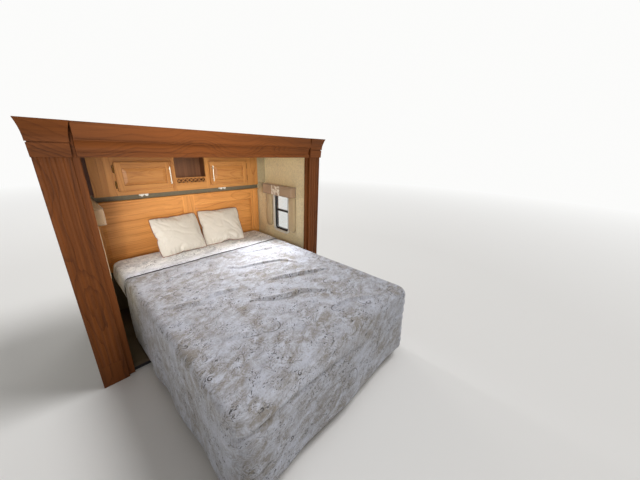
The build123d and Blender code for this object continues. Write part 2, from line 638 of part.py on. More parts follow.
with BuildPart() as mattress:
    with BuildSketch(Plane.XY.offset(DECK_TOP)):
        with Locations((0, mattress_y)):
            RectangleRounded(MATTRESS_WIDTH, MATTRESS_LENGTH, MATTRESS_CORNER)
    extrude(amount=MATTRESS_THICK)
    fillet(mattress.faces().filter_by(Axis.Z).edges(), MATTRESS_EDGE)
keep(mattress.part, "mattress")

# Bedding hangs over the mattress, its sides and foot flared down to the hem
with BuildPart() as quilt:
    for out, mode in ((QUILT, Mode.ADD), (0, Mode.SUBTRACT)):
        for height, flare in ((QUILT_HEM, 1), (mattress_top + SOFT_GAP + out, 0)):
            half = MATTRESS_WIDTH / 2 + SOFT_GAP + out + flare * SIDE_FLARE
            foot = mattress_foot - SOFT_GAP - out - flare * FOOT_FLARE
            with BuildSketch(Plane.XY.offset(height)):
                with Locations((0, (foot + cover_start) / 2)):
                    Rectangle(2 * half, cover_start - foot)
                fillet(vertices().group_by(Axis.Y)[0], MATTRESS_CORNER + out)
        loft(ruled=True, mode=mode)
keep(quilt.part, "quilt")

with BuildPart() as head_cover:
    half = MATTRESS_WIDTH / 2 + SOFT_GAP
    hem = DECK_TOP + COVER_LIFT
    block(-half - QUILT, half + QUILT, cover_start + SOFT_GAP, cover_end, hem, bed_top)
    fillet(head_cover.edges().filter_by(Axis.Y).group_by(Axis.Z)[-1], QUILT * 0.9)
    block(-half, half, cover_start, mattress_head + SOFT_GAP, hem, bed_top - QUILT, Mode.SUBTRACT)
keep(head_cover.part, "head_cover")

# Each pillow: its middle along X, its lower front edge from the headboard, and its turn about Z
PILLOWS = (
    # name, middle, reach, turn
    ("left", -196.0, 274.0, 3.0),
    ("right", 268.0, 270.0, -8.0),
)
lean = math.radians(PILLOW_LEAN)
rise = ((PILLOW_HEIGHT / 2 - PILLOW_ROUND) * math.sin(lean)
        + (PILLOW_THICK / 2 - PILLOW_ROUND) * math.cos(lean) + PILLOW_ROUND)
for side, middle, reach, turn in PILLOWS:
    centre = (middle, headboard_y - reach + PILLOW_HEIGHT / 2 * math.cos(lean), bed_top + SOFT_GAP + rise)
    spin = math.radians(turn)
    along = Vector(math.cos(spin), math.sin(spin), 0)
    normal = Vector(math.sin(lean) * math.sin(spin), -math.sin(lean) * math.cos(spin), math.cos(lean))
    with BuildPart(Plane(origin=centre, x_dir=along, z_dir=normal)) as pillow:
        Box(PILLOW_WIDTH, PILLOW_HEIGHT, PILLOW_THICK)
        fillet(pillow.edges().filter_by(Axis(centre, normal)), PILLOW_THICK / 2)
        fillet(pillow.edges(), PILLOW_ROUND)
    keep(pillow.part, f"pillow_{side}")
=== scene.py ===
"""Finishes and soft goods of a fifth wheel trailer's bed slide-out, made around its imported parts."""

import math

import bmesh
import bpy
from bpy.props import FloatProperty, FloatVectorProperty, PointerProperty
from bpy.types import Operator, Panel, PropertyGroup
from mathutils import Color, Matrix, Vector, noise


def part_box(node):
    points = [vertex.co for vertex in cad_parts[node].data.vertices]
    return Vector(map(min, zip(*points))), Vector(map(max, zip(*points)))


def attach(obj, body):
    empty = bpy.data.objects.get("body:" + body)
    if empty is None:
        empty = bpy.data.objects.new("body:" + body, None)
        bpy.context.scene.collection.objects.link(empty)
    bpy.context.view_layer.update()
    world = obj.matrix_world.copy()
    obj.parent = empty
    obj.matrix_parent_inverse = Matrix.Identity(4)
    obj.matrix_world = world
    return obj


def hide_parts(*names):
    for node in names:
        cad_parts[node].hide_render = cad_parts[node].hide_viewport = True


bl_info = {
    "name": "Bed slide-out",
    "version": (1, 0, 0),
    "blender": (4, 5, 0),
    "location": "3D Viewport > Sidebar > Slide-out",
    "description": "Dresses a trailer's bed slide-out: wood, walls, windows, upholstery and bedding",
    "category": "Object",
}

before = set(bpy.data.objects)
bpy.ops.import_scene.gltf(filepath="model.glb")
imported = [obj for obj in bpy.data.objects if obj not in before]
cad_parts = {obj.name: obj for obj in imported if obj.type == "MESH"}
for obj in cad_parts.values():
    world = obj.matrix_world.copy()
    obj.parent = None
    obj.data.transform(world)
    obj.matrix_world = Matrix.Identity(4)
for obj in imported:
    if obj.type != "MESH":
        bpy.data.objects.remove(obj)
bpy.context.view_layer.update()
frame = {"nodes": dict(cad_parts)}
BODY = "slide_box"
SIDES = (("left", -1), ("right", 1))

# Places read from the parts
FACE_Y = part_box("side_casings")[0].y
HEADBOARD_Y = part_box("headboard_frame")[0].y
BED_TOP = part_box("quilt")[1].z
MATTRESS_LOW, MATTRESS_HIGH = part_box("mattress")

# Sizes, in metres
INSET_START = 0.357  # the valance's inset, from the fascia
INSET_END = 0.516
LEG_WIDTH = 0.099
LEG_CORNER = 0.038
MATTRESS_CORNER = 0.095
QUILT_REACH = 0.0144  # from the mattress's side to the quilt's
PILLOW = (0.45, 0.40, 0.115)
PILLOW_LEAN = 58.0  # degrees from lying flat
GRID_STEP = 0.0125  # of the bedding's cloth


def tint(red, green, blue):
    """Screen colour from 0 to 255, as Blender's linear one."""
    def linear(c):
        c /= 255
        return c / 12.92 if c <= 0.04045 else ((c + 0.055) / 1.055) ** 2.4
    return tuple(linear(c) for c in (red, green, blue))


def shade(colour, level):
    """The same colour, darker below a level of 1 and lighter above it."""
    return tuple(c * level for c in colour)


def arithmetic(operation, reflected=False):
    """A method for Value that adds a Math node, with the two numbers swapped in its reflected form."""
    def method(self, other):
        pair = (other, self) if reflected else (self, other)
        return self.finish.maths(operation, *pair)
    return method


class Value:
    """A number, colour or vector at a socket. Arithmetic on it adds Math nodes."""

    def __init__(self, finish, socket):
        self.finish = finish
        self.socket = socket

    __add__ = __radd__ = arithmetic("ADD")
    __mul__ = __rmul__ = arithmetic("MULTIPLY")
    __sub__ = arithmetic("SUBTRACT")
    __rsub__ = arithmetic("SUBTRACT", reflected=True)
    __truediv__ = arithmetic("DIVIDE")
    __pow__ = arithmetic("POWER")
    __gt__ = arithmetic("GREATER_THAN")
    __lt__ = arithmetic("LESS_THAN")

    def __abs__(self):
        return self.finish.maths("ABSOLUTE", self)

    def rising(self, low, high):
        """0 below low, 1 above high."""
        return self.finish.value("ShaderNodeMapRange", {"clamp": True},
                                 {"Value": self, "From Min": low, "From Max": high})


class Nodes:
    """The nodes of a material or of the world."""

    def __init__(self, tree):
        self.tree = tree

    def put(self, socket, value):
        """Links a value to a socket, or sets it there."""
        if isinstance(value, Value):
            self.tree.links.new(value.socket, socket)
        else:
            socket.default_value = value

    def node(self, kind, settings=None, sockets=None):
        """A node of that kind: its settings first, then its sockets' values or links."""
        node = self.tree.nodes.new(kind)
        for key, value in (settings or {}).items():
            setattr(node, key, value)
        for key, value in (sockets or {}).items():
            self.put(node.inputs[key], value)
        return node

    def value(self, kind, settings=None, sockets=None, output=0):
        """What a new node gives at one of its outputs."""
        return Value(self, self.node(kind, settings, sockets).outputs[output])

    def maths(self, operation, *values):
        """What a Math node makes of numbers."""
        return self.value("ShaderNodeMath", {"operation": operation}, dict(enumerate(values)))

    def vector(self, operation, *values):
        """What a Vector Math node makes of vectors: a vector, or a number for a length or a dot product."""
        output = 1 if operation in ("LENGTH", "DOT_PRODUCT") else 0
        return self.value("ShaderNodeVectorMath", {"operation": operation}, dict(enumerate(values)), output)

    def ray(self, *kinds):
        """1 for a ray that is of one of the kinds."""
        light_path = self.node("ShaderNodeLightPath")
        either = Value(self, light_path.outputs[f"Is {kinds[0]} Ray"])
        for kind in kinds[1:]:
            either = self.maths("MAXIMUM", either, Value(self, light_path.outputs[f"Is {kind} Ray"]))
        return either

    def blend(self, share, first, second, output):
        """Two shaders, mixed by a share, at the tree's output node."""
        mixed = self.value("ShaderNodeMixShader", None, {
            0: share, 1: Value(self, first.outputs[0]), 2: Value(self, second.outputs[0])})
        self.put(self.tree.nodes[output].inputs[0], mixed)


class Finish(Nodes):
    """A material and its nodes."""

    def __init__(self, name):
        self.material = bpy.data.materials.new(name)
        self.material.use_nodes = True
        super().__init__(self.material.node_tree)
        self.shader = self.tree.nodes["Principled BSDF"]

    def place(self, along="x"):
        """Where a point is, with the grain or the cloth's length first: from the mesh, or from its flow."""
        if along == "flow":
            return self.value("ShaderNodeAttribute", {"attribute_name": "flow"}, None, "Vector")
        here = self.value("ShaderNodeTexCoord", None, None, "Object")
        if along == "x":
            return here
        x, y, z = self.parts(here)
        order = {"y": (y, x, z), "z": (z, x, y)}[along]
        return self.joined(*order)

    def parts(self, vector):
        """The three numbers of a vector or a colour."""
        node = self.node("ShaderNodeSeparateXYZ", None, {0: vector})
        return [Value(self, socket) for socket in node.outputs]

    def joined(self, x, y, z):
        """A vector of three numbers."""
        return self.value("ShaderNodeCombineXYZ", None, {0: x, 1: y, 2: z})

    def noise(self, vector, scale, detail=3.0, roughness=0.5, distortion=0.0, output=0):
        """Noise at a scale, which is one number or one for each axis. Output 1 gives a vector of noises."""
        if isinstance(scale, tuple):
            vector = self.vector("MULTIPLY", vector, scale)
            scale = 1.0
        return self.value("ShaderNodeTexNoise", None, {
            "Vector": vector, "Scale": scale, "Detail": detail, "Roughness": roughness,
            "Distortion": distortion}, output)

    def wander(self, vector, scale, amount):
        """The place, pushed about by a noise."""
        push = self.vector("SUBTRACT", self.noise(vector, scale, 2.0, output=1), (0.5, 0.5, 0.5))
        return self.vector("ADD", vector, self.vector("MULTIPLY", push, (amount, amount, amount)))

    def chance(self, number):
        """A random number from 0 to 1 for each whole number."""
        return self.value("ShaderNodeTexWhiteNoise", {"noise_dimensions": "1D"}, {"W": number})

    def cells(self, vector, scale, feature="F1"):
        """How far a point is from the middle of its cell, or from the cell's edge."""
        return self.value("ShaderNodeTexVoronoi", {"feature": feature}, {"Vector": vector, "Scale": scale},
                          "Distance")

    def scattered(self, vector, per_metre, randomness=1.0):
        """For a motif in each cell: the way from the cell's middle, and three random numbers of the cell."""
        grid = self.vector("MULTIPLY", vector, (per_metre, per_metre, per_metre))
        node = self.node("ShaderNodeTexVoronoi", {"feature": "F1"}, {
            "Vector": grid, "Scale": 1.0, "Randomness": randomness})
        offset = self.vector("SUBTRACT", grid, Value(self, node.outputs["Position"]))
        return offset, *self.parts(Value(self, node.outputs["Color"]))

    def mix(self, share, first, second):
        """Two colours, mixed by a share."""
        first, second = [c if isinstance(c, Value) else (*c, 1.0) for c in (first, second)]
        return self.value("ShaderNodeMix", {"data_type": "RGBA"}, {0: share, 6: first, 7: second}, 2)

    def deeper(self, share, colour, level):
        """A colour, mixed by a share with a darker tone of itself."""
        return self.mix(share, colour, shade(colour, level))

    def edges(self, radius):
        """The normal with its edges rounded, and a mask of those edges."""
        rounded = self.value("ShaderNodeBevel", {"samples": 4}, {"Radius": radius})
        straight = self.value("ShaderNodeNewGeometry", None, None, "Normal")
        return rounded, (1 - self.vector("DOT_PRODUCT", rounded, straight)).rising(0.02, 0.2)

    def bump(self, height, distance, strength, under=None):
        """The normal over a height, and over another normal where there is one under it."""
        sockets = {"Height": height, "Distance": distance, "Strength": strength}
        if under is not None:
            sockets["Normal"] = under
        return self.value("ShaderNodeBump", None, sockets)

    def surface(self, **sockets):
        """Sets or links the shader's sockets and gives the material."""
        for key, value in sockets.items():
            if isinstance(value, (tuple, Color)):
                value = (*value, 1.0)
            self.put(self.shader.inputs[key.replace("_", " ")], value)
        return self.material


# Finishes

FLITCH = 0.3  # width of a sheet of the veneer, or of a board
RINGS = 105.0  # year rings to a metre
CORD_WEAVE = 3000.0  # a weave's fineness, in radians to a metre
UPHOLSTERY_WEAVE = 2200.0


def oak(name, pale, dark, along="x", upright=(), gloss=0.36, figure=0.62, coat=0.1, shine=0.35,
        lines=(0.0018, 0.2)):
    """Plain sawn oak: rings cut into arches and long lines, pores, and darkened edges: wear on them, and
    painted shade in the grooves.

    upright gives the stretches of |X| where the grain stands upright, as on stiles. figure is how dark the
    rings are. lines gives how wide and how dark the edges and grooves are drawn: stain gathered along the
    edges, and painted shade in the grooves.
    """
    f = Finish(name)
    here = f.place(along)
    if upright:
        x, y, z = f.parts(f.place("x"))
        standing = 0.0
        for low, high in upright:
            standing = standing + (abs(x) > low) * (abs(x) < high)
        here = f.value("ShaderNodeMix", {"data_type": "VECTOR"}, {
            0: standing, 4: f.joined(x, z, y), 5: f.joined(z, x + 3.0, y)}, 1)
    run, across, depth = f.parts(here)
    number = f.maths("FLOOR", across / FLITCH)
    chance = f.chance(number)
    own = f.joined(run + chance * 9.0, number * 2.7, depth)
    bow = f.noise(own, (0.9, 1.0, 0.4), 1.0)
    cut = f.noise(own, (1.9, 1.3, 0.4), 1.0)
    wobble = f.noise(here, (3.0, 26.0, 26.0), 3.0, 0.55)
    side = across - (number + 0.5) * FLITCH - (bow - 0.5) * (FLITCH * 1.3)
    heart = cut * 0.16
    rings = (f.maths("SQRT", side * side + heart * heart) + wobble * 0.012 + depth * 0.5) * RINGS
    late = f.maths("FRACT", rings) ** 2.4 * f.chance(f.maths("FLOOR", rings)).rising(0.1, 1.0)
    fibre = f.noise(here, (5.0, 230.0, 230.0), 2.0, 0.6)
    pore = f.noise(here, (26.0, 950.0, 950.0), 1.0)
    streak = f.noise(here, (0.8, 22.0, 22.0), 3.0, 0.6)
    tone = f.noise(here, (0.6, 3.0, 3.0), 2.0)
    share = (late * figure + streak.rising(0.38, 0.68) * 0.36 + fibre.rising(0.4, 0.7) * 0.12
             + tone.rising(0.35, 0.65) * 0.22 + chance * 0.08 - 0.1)
    pores = pore.rising(0.56, 0.68) * (late * 0.7 + 0.2)
    line_width, line_strength = lines
    rounded, worn = f.edges(line_width)
    colour = f.mix(share.rising(0.0, 1.0), pale, dark)
    colour = f.mix(pores * 0.6, colour, shade(dark, 0.3))
    # Edges and grooves darkened: stain gathered along the edges, and painted shade in the grooves.
    colour = f.mix(worn * line_strength, colour, shade(dark, 0.6))
    return f.surface(Base_Color=colour, Roughness=fibre * 0.12 + gloss, Specular_IOR_Level=shine,
                     Coat_Weight=coat, Coat_Roughness=0.35,
                     Normal=f.bump(fibre * 0.4 - pores, 0.0004, 0.5, rounded))


def board(name, colour, along="x"):
    """Brown printed board of the cabinet's inside and the bed's base."""
    f = Finish(name)
    here = f.place(along)
    streak = f.noise(here, (1.2, 40.0, 46.0), 3.0, 0.6)
    fine = f.noise(here, (12.0, 300.0, 300.0), 2.0)
    base = f.deeper(streak.rising(0.35, 0.7) * 0.7 + fine * 0.2, colour, 0.5)
    return f.surface(Base_Color=base, Roughness=0.5 + fine * 0.12, Normal=f.bump(fine, 0.0003, 0.4))


def plywood(name, colour):
    """Pale veneer on top, with the plies' lines round the edges."""
    f = Finish(name)
    here = f.place("y")
    rings = f.maths("SINE", f.noise(here, (0.8, 5.0, 5.0), 2.0) * 70.0)
    fine = f.noise(here, (9.0, 260.0, 260.0), 2.0)
    height = f.parts(f.place("x"))[2]
    plies = f.maths("SINE", height * 2100.0).rising(-0.2, 0.2)
    base = f.deeper((rings * 0.5 + 0.5) * 0.45 + fine * 0.3, colour, 0.55)
    base = f.mix(plies * 0.18, base, shade(colour, 0.4))
    return f.surface(Base_Color=base, Roughness=0.72, Normal=f.bump(fine, 0.0004, 0.5))


def panel_finish(name, inside, outside, axis, inner_face):
    """Sponged vinyl paper towards the room, and gel coat on all that lies further out than the inner face."""
    f = Finish(name)
    here = f.place("x")
    outer = abs(f.parts(here)[axis]) > inner_face + 0.0008
    sponge = f.noise(f.wander(here, 30.0, 0.03), 55.0, 5.0, 0.7).rising(0.4, 0.62)
    grain = f.noise(here, 420.0, 2.0)
    cloud = f.noise(here, 3.0, 4.0, 0.6)
    streaks = f.noise(here, (9.0, 9.0, 0.8), 4.0, 0.6)
    peel = f.noise(here, 260.0, 1.0)
    vinyl = f.deeper(sponge * 0.5 + cloud.rising(0.35, 0.7) * 0.25 + grain * 0.12, inside, 0.66)
    coat = f.deeper(streaks.rising(0.5, 0.8) * 0.35, outside, 0.66)
    height = (grain * 0.6 + sponge) * (1 - outer) + peel * outer * 0.3
    return f.surface(Base_Color=f.mix(outer, vinyl, coat), Roughness=0.6 - outer * 0.34 + cloud * 0.08,
                     Normal=f.bump(height, 0.0004, 0.4, f.edges(0.002)[0]))


def strip_finish(name, right, left):
    """Vinyl on the strip at the right, dark board on the one at the left; the caller darkens both colours as
    painted shade.
    """
    f = Finish(name)
    here = f.place("z")
    streak = f.noise(here, (2.0, 60.0, 60.0), 3.0, 0.6)
    sponge = f.noise(here, 55.0, 5.0, 0.7).rising(0.4, 0.62)
    vinyl = f.deeper(sponge * 0.5, right, 0.66)
    # The left strip's dark board colour, whose darkness is painted shade.
    stained = f.deeper(streak.rising(0.35, 0.7) * 0.7, left, 0.5)
    at_left = f.parts(f.place("x"))[0] < 0.0
    return f.surface(Base_Color=f.mix(at_left, vinyl, stained), Roughness=0.55 + streak * 0.1,
                     Normal=f.bump(sponge, 0.0004, 0.4))


def floor_covering(name, pile, under, middle):
    """Short carpet pile on top, dark sheet underneath."""
    f = Finish(name)
    here = f.place("x")
    above = f.parts(here)[2] > middle
    tufts = f.cells(here, 330.0)
    cloud = f.noise(here, 8.0, 4.0, 0.6)
    top = f.deeper(tufts * 0.8 + cloud.rising(0.4, 0.7) * 0.3, pile, 0.45)
    base = f.mix(above, f.deeper(cloud, under, 0.5), top)
    return f.surface(Base_Color=base, Roughness=0.95, Normal=f.bump(tufts * above, 0.003, 0.8))


def metal(name, colour, roughness, along):
    """Bright or plated metal with a brushed grain and small marks."""
    f = Finish(name)
    here = f.place(along)
    brush = f.noise(here, (30.0, 1600.0, 1600.0), 2.0)
    stain = f.noise(here, 26.0, 4.0, 0.6)
    base = f.deeper(stain.rising(0.4, 0.75) * 0.35, colour, 0.62)
    return f.surface(Base_Color=base, Metallic=1.0, Roughness=roughness + stain * 0.16,
                     Normal=f.bump(brush, 0.0002, 0.5))


def coated(name, colour, roughness, grain=700.0):
    """Paint, rubber or moulded plastic with a fine grain and a little wear."""
    f = Finish(name)
    here = f.place("x")
    fine = f.noise(here, grain, 2.0)
    patch = f.noise(here, 14.0, 4.0, 0.6)
    worn = tuple(min(1.0, c * 0.7 + 0.01) for c in colour)
    base = f.mix(patch.rising(0.45, 0.8) * 0.25, colour, worn)
    return f.surface(Base_Color=base, Roughness=roughness + patch * 0.12, Normal=f.bump(fine, 0.0003, 0.4))


def pane(name, colour):
    """Clear glass with a faint film."""
    f = Finish(name)
    film = f.noise(f.place("x"), 9.0, 3.0)
    return f.surface(Base_Color=colour, Roughness=film * 0.05, Transmission_Weight=0.96, IOR=1.45)


def weave(f, here, fineness):
    """Height of a plain weave: two crossed ribs."""
    x, y = f.parts(here)[:2]
    return f.maths("SINE", x * fineness) * f.maths("SINE", y * fineness)


def plain_cloth(name, colour, fineness=CORD_WEAVE, mottle=0.2):
    """Woven cloth with slubs and a little fading."""
    f = Finish(name)
    here = f.place("flow")
    threads = weave(f, here, fineness)
    slub = f.noise(here, (60.0, 900.0, 60.0), 2.0)
    fade = f.noise(here, 7.0, 4.0, 0.6)
    base = f.deeper(fade.rising(0.35, 0.7) * mottle + slub * 0.22 + threads * 0.05, colour, 0.6)
    return f.surface(Base_Color=base, Roughness=0.85, Sheen_Weight=0.25, Sheen_Roughness=0.5,
                     Normal=f.bump(threads * 0.4 + slub, 0.0005, 0.6))


def satin(name, colour):
    """Smooth pillow cover with a soft sheen and faint slubs."""
    f = Finish(name)
    here = f.place("flow")
    slub = f.noise(here, (40.0, 800.0, 40.0), 2.0)
    cloud = f.noise(here, 12.0, 3.0)
    base = f.deeper(slub * 0.2 + cloud.rising(0.4, 0.7) * 0.15, colour, 0.72)
    return f.surface(Base_Color=base, Roughness=0.52 + slub * 0.12, Sheen_Weight=0.35, Sheen_Roughness=0.35,
                     Normal=f.bump(slub + weave(f, here, 3200.0) * 0.25, 0.0004, 0.5))


def curls(f, here, per_metre, turns, reach, width, share):
    """Thin spirals in a share of the cells. turns, reach and width count in cell widths."""
    offset, chance, turn = f.scattered(here, per_metre)[:3]
    across, up = f.parts(offset)[:2]
    far = f.vector("LENGTH", offset)
    angle = f.maths("ARCTAN2", up, across) / math.tau + turn
    spiral = abs(f.maths("FRACT", angle + far * turns + 8.0) - 0.5)
    line = spiral.rising(0.5 - width * 1.5, 0.5 - width)
    return line * (far < reach) * (far > reach * 0.16) * (chance < share)


def leaves(f, here, per_metre, lean, spread):
    """Feathered leaves, each at its own slant in its own cell. Gives the barbs, the midrib and a chance."""
    offset, chance, turn, other = f.scattered(here, per_metre, 0.9)
    across, up = f.parts(offset)[:2]
    slant = (turn - 0.5) * spread + lean
    cosine = f.maths("COSINE", slant)
    sine = f.maths("SINE", slant)
    along = across * cosine + up * sine
    off = abs(up * cosine - across * sine + along * along * (chance - 0.5) * 1.6)
    barbs = f.maths("SINE", along * 34.0 - off * 30.0 + chance * 9.0).rising(-0.5, 0.7)
    blade = (1 - off.rising(0.1, 0.42)) * (1 - abs(along).rising(0.3, 0.62))
    midrib = (1 - off.rising(0.012, 0.04)) * (1 - abs(along).rising(0.25, 0.5))
    return barbs * blade, midrib, other


def leafy_print(name, pale, grey, brown, ink, depth, painted_daylight=None):
    """Bedding printed all over with feathered leaves that lie across the bed, sprigs, buds and hooked stems.

    The last argument gives painted light: a bluish daylight colour that the pale one turns into, and the
    stretch of the flow's Y where it does.
    """
    f = Finish(name)
    flat = f.place("flow")
    ragged = f.wander(flat, 26.0, 0.016)
    x, y = f.parts(f.wander(flat, 6.0, 0.05))[:2]
    slanted = f.joined(x * 0.93 + y * 0.37, y * 0.93 - x * 0.37, 0.0)
    cloud = f.noise(slanted, (11.5, 19.0, 1.0), 5.0, 0.68, 0.5)
    specks = f.noise(slanted, (58.0, 80.0, 1.0), 3.0, 0.65, 0.9)
    patches = f.noise(flat, 3.6, 3.0, 0.6)
    # Painted light: the pale ground turns to a bluish daylight colour over a stretch of the flow's Y.
    if painted_daylight:
        tone, low, high = painted_daylight
        pale = f.mix(1 - y.rising(low, high), pale, tone)
    base = f.mix(cloud.rising(0.36, 0.64) * 0.6, pale, grey)
    base = f.mix(patches.rising(0.4, 0.6) * cloud.rising(0.38, 0.56) * 0.68, base, brown)
    for per_metre, lean, spread, strength, shift in (
            (8.5, 0.35, 1.9, 0.42, 0.0), (13.0, 0.2, 2.8, 0.36, 5.0)):
        shifted = f.vector("ADD", ragged, (shift, shift, 0.0))
        barbs, midrib, other = leaves(f, shifted, per_metre, lean, spread)
        base = f.mix(barbs * (other > 0.35) * strength * (cloud.rising(0.3, 0.55) * 0.7 + 0.3), base, brown)
        base = f.mix(barbs * (other < 0.3) * 0.4, base, pale)
        base = f.mix(midrib * (other > 0.6) * 0.5 * depth, base, ink)
    base = f.mix(specks.rising(0.54, 0.64) * 0.4, base, brown)
    base = f.mix((1 - specks).rising(0.55, 0.65) * 0.45, base, pale)
    sprigs = f.noise(slanted, (46.0, 70.0, 1.0), 2.0, 0.5, 1.6).rising(0.6, 0.635)
    stems = curls(f, flat, 3.3, 3.3, 0.27, 0.026, 0.45)
    buds = curls(f, f.vector("ADD", flat, (3.0, 1.0, 0.0)), 12.0, 5.5, 0.2, 0.17, 0.28)
    base = f.mix(sprigs * f.noise(flat, 8.0, 3.0).rising(0.46, 0.54) * depth, base, ink)
    base = f.mix(stems * (depth * 0.8), base, ink)
    base = f.mix(buds * depth, base, ink)
    tufts = f.cells(f.wander(flat, 24.0, 0.03), 30.0, "DISTANCE_TO_EDGE").rising(0.0, 0.3)
    creases = f.noise(slanted, (8.0, 20.0, 1.0), 3.0, 0.5, 0.5)
    ridges = (1 - abs(creases - 0.5).rising(0.0, 0.06)) * patches.rising(0.36, 0.6)
    height = tufts * 0.3 + weave(f, flat, 2400.0) * 0.08 + specks * 0.12 + ridges * 0.9
    return f.surface(Base_Color=base, Roughness=0.72, Sheen_Weight=0.2, Sheen_Roughness=0.5,
                     Normal=f.bump(height, 0.002, 0.7))


def scroll_cloth(name, ground, figure):
    """Jacquard in the valances' insets: a light scroll along a noise's contours, and buds."""
    f = Finish(name)
    flat = f.place("flow")
    contours = f.maths("FRACT", f.noise(f.wander(flat, 9.0, 0.03), 17.0, 2.0, 0.5, 0.6) * 3.0)
    scroll = 1 - abs(contours - 0.5).rising(0.12, 0.3)
    figured = f.maths("MAXIMUM", scroll, curls(f, flat, 22.0, 2.2, 0.42, 0.16, 0.9))
    height = figured + weave(f, flat, 2300.0) * 0.12
    return f.surface(Base_Color=f.mix(figured * 0.9, ground, figure), Roughness=0.82, Sheen_Weight=0.2,
                     Normal=f.bump(height, 0.0012, 0.7))


# Mesh tools

def add_piece(name, bm, material, body=BODY, replaces=()):
    """Turns a mesh into a piece that rides on a body, with its finish."""
    mesh = bpy.data.meshes.new(name)
    bm.to_mesh(mesh)
    bm.free()
    mesh.shade_smooth()
    piece = bpy.data.objects.new(name, mesh)
    bpy.context.scene.collection.objects.link(piece)
    mesh.materials.append(material)
    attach(piece, body)
    if replaces:
        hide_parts(*replaces)
    return piece


def set_finish(material, *nodes):
    """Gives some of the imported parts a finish."""
    for node in nodes:
        mesh = frame["nodes"][node].data
        mesh.materials.clear()
        mesh.materials.append(material)


def flow_layer(bm):
    """The layer that holds each point's place in its cloth, which the finishes read."""
    return bm.verts.layers.float_vector.get("flow") or bm.verts.layers.float_vector.new("flow")


def bridge(bm, ring, following):
    """Faces between two closed rings of points."""
    for k, point in enumerate(ring):
        after = (k + 1) % len(ring)
        bm.faces.new((point, ring[after], following[after], following[k]))


def tube(bm, path, radius, closed=False, sides=8):
    """Round cord along a path, added to a mesh. Its flow runs along it."""
    layer = flow_layer(bm)
    rings = []
    count = len(path)
    run = 0.0
    side = None
    for i, point in enumerate(path):
        before = path[i - 1] if i or closed else path[0]
        after = path[(i + 1) % count] if i + 1 < count or closed else path[-1]
        ahead = (after - before).normalized()
        if side is None:
            side = ahead.orthogonal().normalized()
        side = (side - ahead * side.dot(ahead)).normalized()
        up = ahead.cross(side)
        if i:
            run += (point - path[i - 1]).length
        ring = []
        for k in range(sides):
            angle = math.tau * k / sides
            vert = bm.verts.new(point + (side * math.cos(angle) + up * math.sin(angle)) * radius)
            vert[layer] = (run, angle * radius, 0.0)
            ring.append(vert)
        rings.append(ring)
    for ring, following in zip(rings, rings[1:]):
        bridge(bm, ring, following)
    if closed:
        bridge(bm, rings[-1], rings[0])
    else:
        bm.faces.new(list(reversed(rings[0])))
        bm.faces.new(rings[-1])


def rounded_outline(half_x, half_y, radius, step=0.02):
    """Points round a rectangle with rounded corners, counterclockwise."""
    arc = 6
    points = []
    for sx, sy, start in ((1, 1, 0), (-1, 1, 90), (-1, -1, 180), (1, -1, 270)):
        centre = Vector((sx * (half_x - radius), sy * (half_y - radius)))
        for k in range(arc + 1):
            angle = math.radians(start + 90 * k / arc)
            points.append(centre + Vector((math.cos(angle), math.sin(angle))) * radius)
    full = []
    for here, there in zip(points, points[1:] + points[:1]):
        parts = max(1, round((there - here).length / step))
        full += [here.lerp(there, k / parts) for k in range(parts)]
    return full


def padded_slab(bm, place, half_x, half_y, radius, profile, shift=(0.0, 0.0)):
    """Pad over a rounded outline, through rings given as (inset, height).

    place turns (x, y, height) into a point in the room. The first and the last ring are closed by flat faces.
    """
    layer = flow_layer(bm)
    rings = []
    outline = rounded_outline(half_x, half_y, radius)
    for inset, height in profile:
        ring = []
        for point in outline:
            x = point.x * max(0.02, 1 - inset / half_x)
            y = point.y * max(0.02, 1 - inset / half_y)
            vert = bm.verts.new(place(x, y, height))
            vert[layer] = (x + shift[0], y + height + shift[1], 0.0)
            ring.append(vert)
        rings.append(ring)
    for ring, following in zip(rings, rings[1:]):
        bridge(bm, ring, following)
    bm.faces.new(list(reversed(rings[0])))
    bm.faces.new(rings[-1])


def against(face_x, sign, middle_y, middle_z):
    """A pad's place on a side of the box: turns (y, z, height over the face) into a point in the room."""
    def placed(y, z, height):
        return Vector((face_x - sign * height, middle_y + y, middle_z + z))
    return placed


def turn_out(bm, sign):
    """Turns the faces of a pad outwards, where its side of the box turned them in."""
    if sign > 0:
        bmesh.ops.reverse_faces(bm, faces=bm.faces)


def fold(*place):
    """Smooth noise from -1 to 1 at a place."""
    return noise.noise(Vector(place))


def bell(off, width):
    """1 in the middle, falling off to both sides."""
    return math.exp(-(off / width) ** 2)


# Sizes and colours that a user would change

def colour_property(name, description, default):
    return FloatVectorProperty(name=name, description=description, default=default, subtype="COLOR",
                               size=3, min=0.0, max=1.0)


def length_property(name, description, default):
    return FloatProperty(name=name, description=description, default=default, subtype="DISTANCE",
                         unit="LENGTH", min=0.0)


def power_property(name, description, default):
    return FloatProperty(name=name, description=description, default=default, min=0.0, unit="POWER")


class SlideoutWood(PropertyGroup):
    honey: colour_property("Honey oak", "Pale tone of the cabinet and the headboard", tint(212, 150, 82))
    honey_deep: colour_property("Honey oak, streaks", "Dark tone of the same oak", tint(160, 94, 40))
    # The fascia's tones are darker than the honey oak's, partly as a darker stain and partly as painted
    # shade, for the fascia faces away from the light.
    fascia: colour_property("Fascia oak", "Pale tone of the fascia's stained oak", tint(134, 76, 34))
    fascia_deep: colour_property("Fascia oak, streaks", "Dark tone of the stained oak", tint(54, 26, 9))
    inside: colour_property("Cabinet inside", "Printed board inside the cabinet", tint(126, 80, 48))


class SlideoutShell(PropertyGroup):
    vinyl: colour_property("Wall vinyl", "Room side of the walls", tint(246, 229, 186))
    carpet: colour_property("Carpet", "Pile on the box's floor", tint(112, 96, 72))
    coat: colour_property("Gel coat", "Outside of the box", tint(226, 224, 216))
    frame: colour_property("Window frame", "Powder coat", tint(30, 30, 32))
    liner: colour_property("Window liner", "Moulded ring", tint(232, 228, 218))


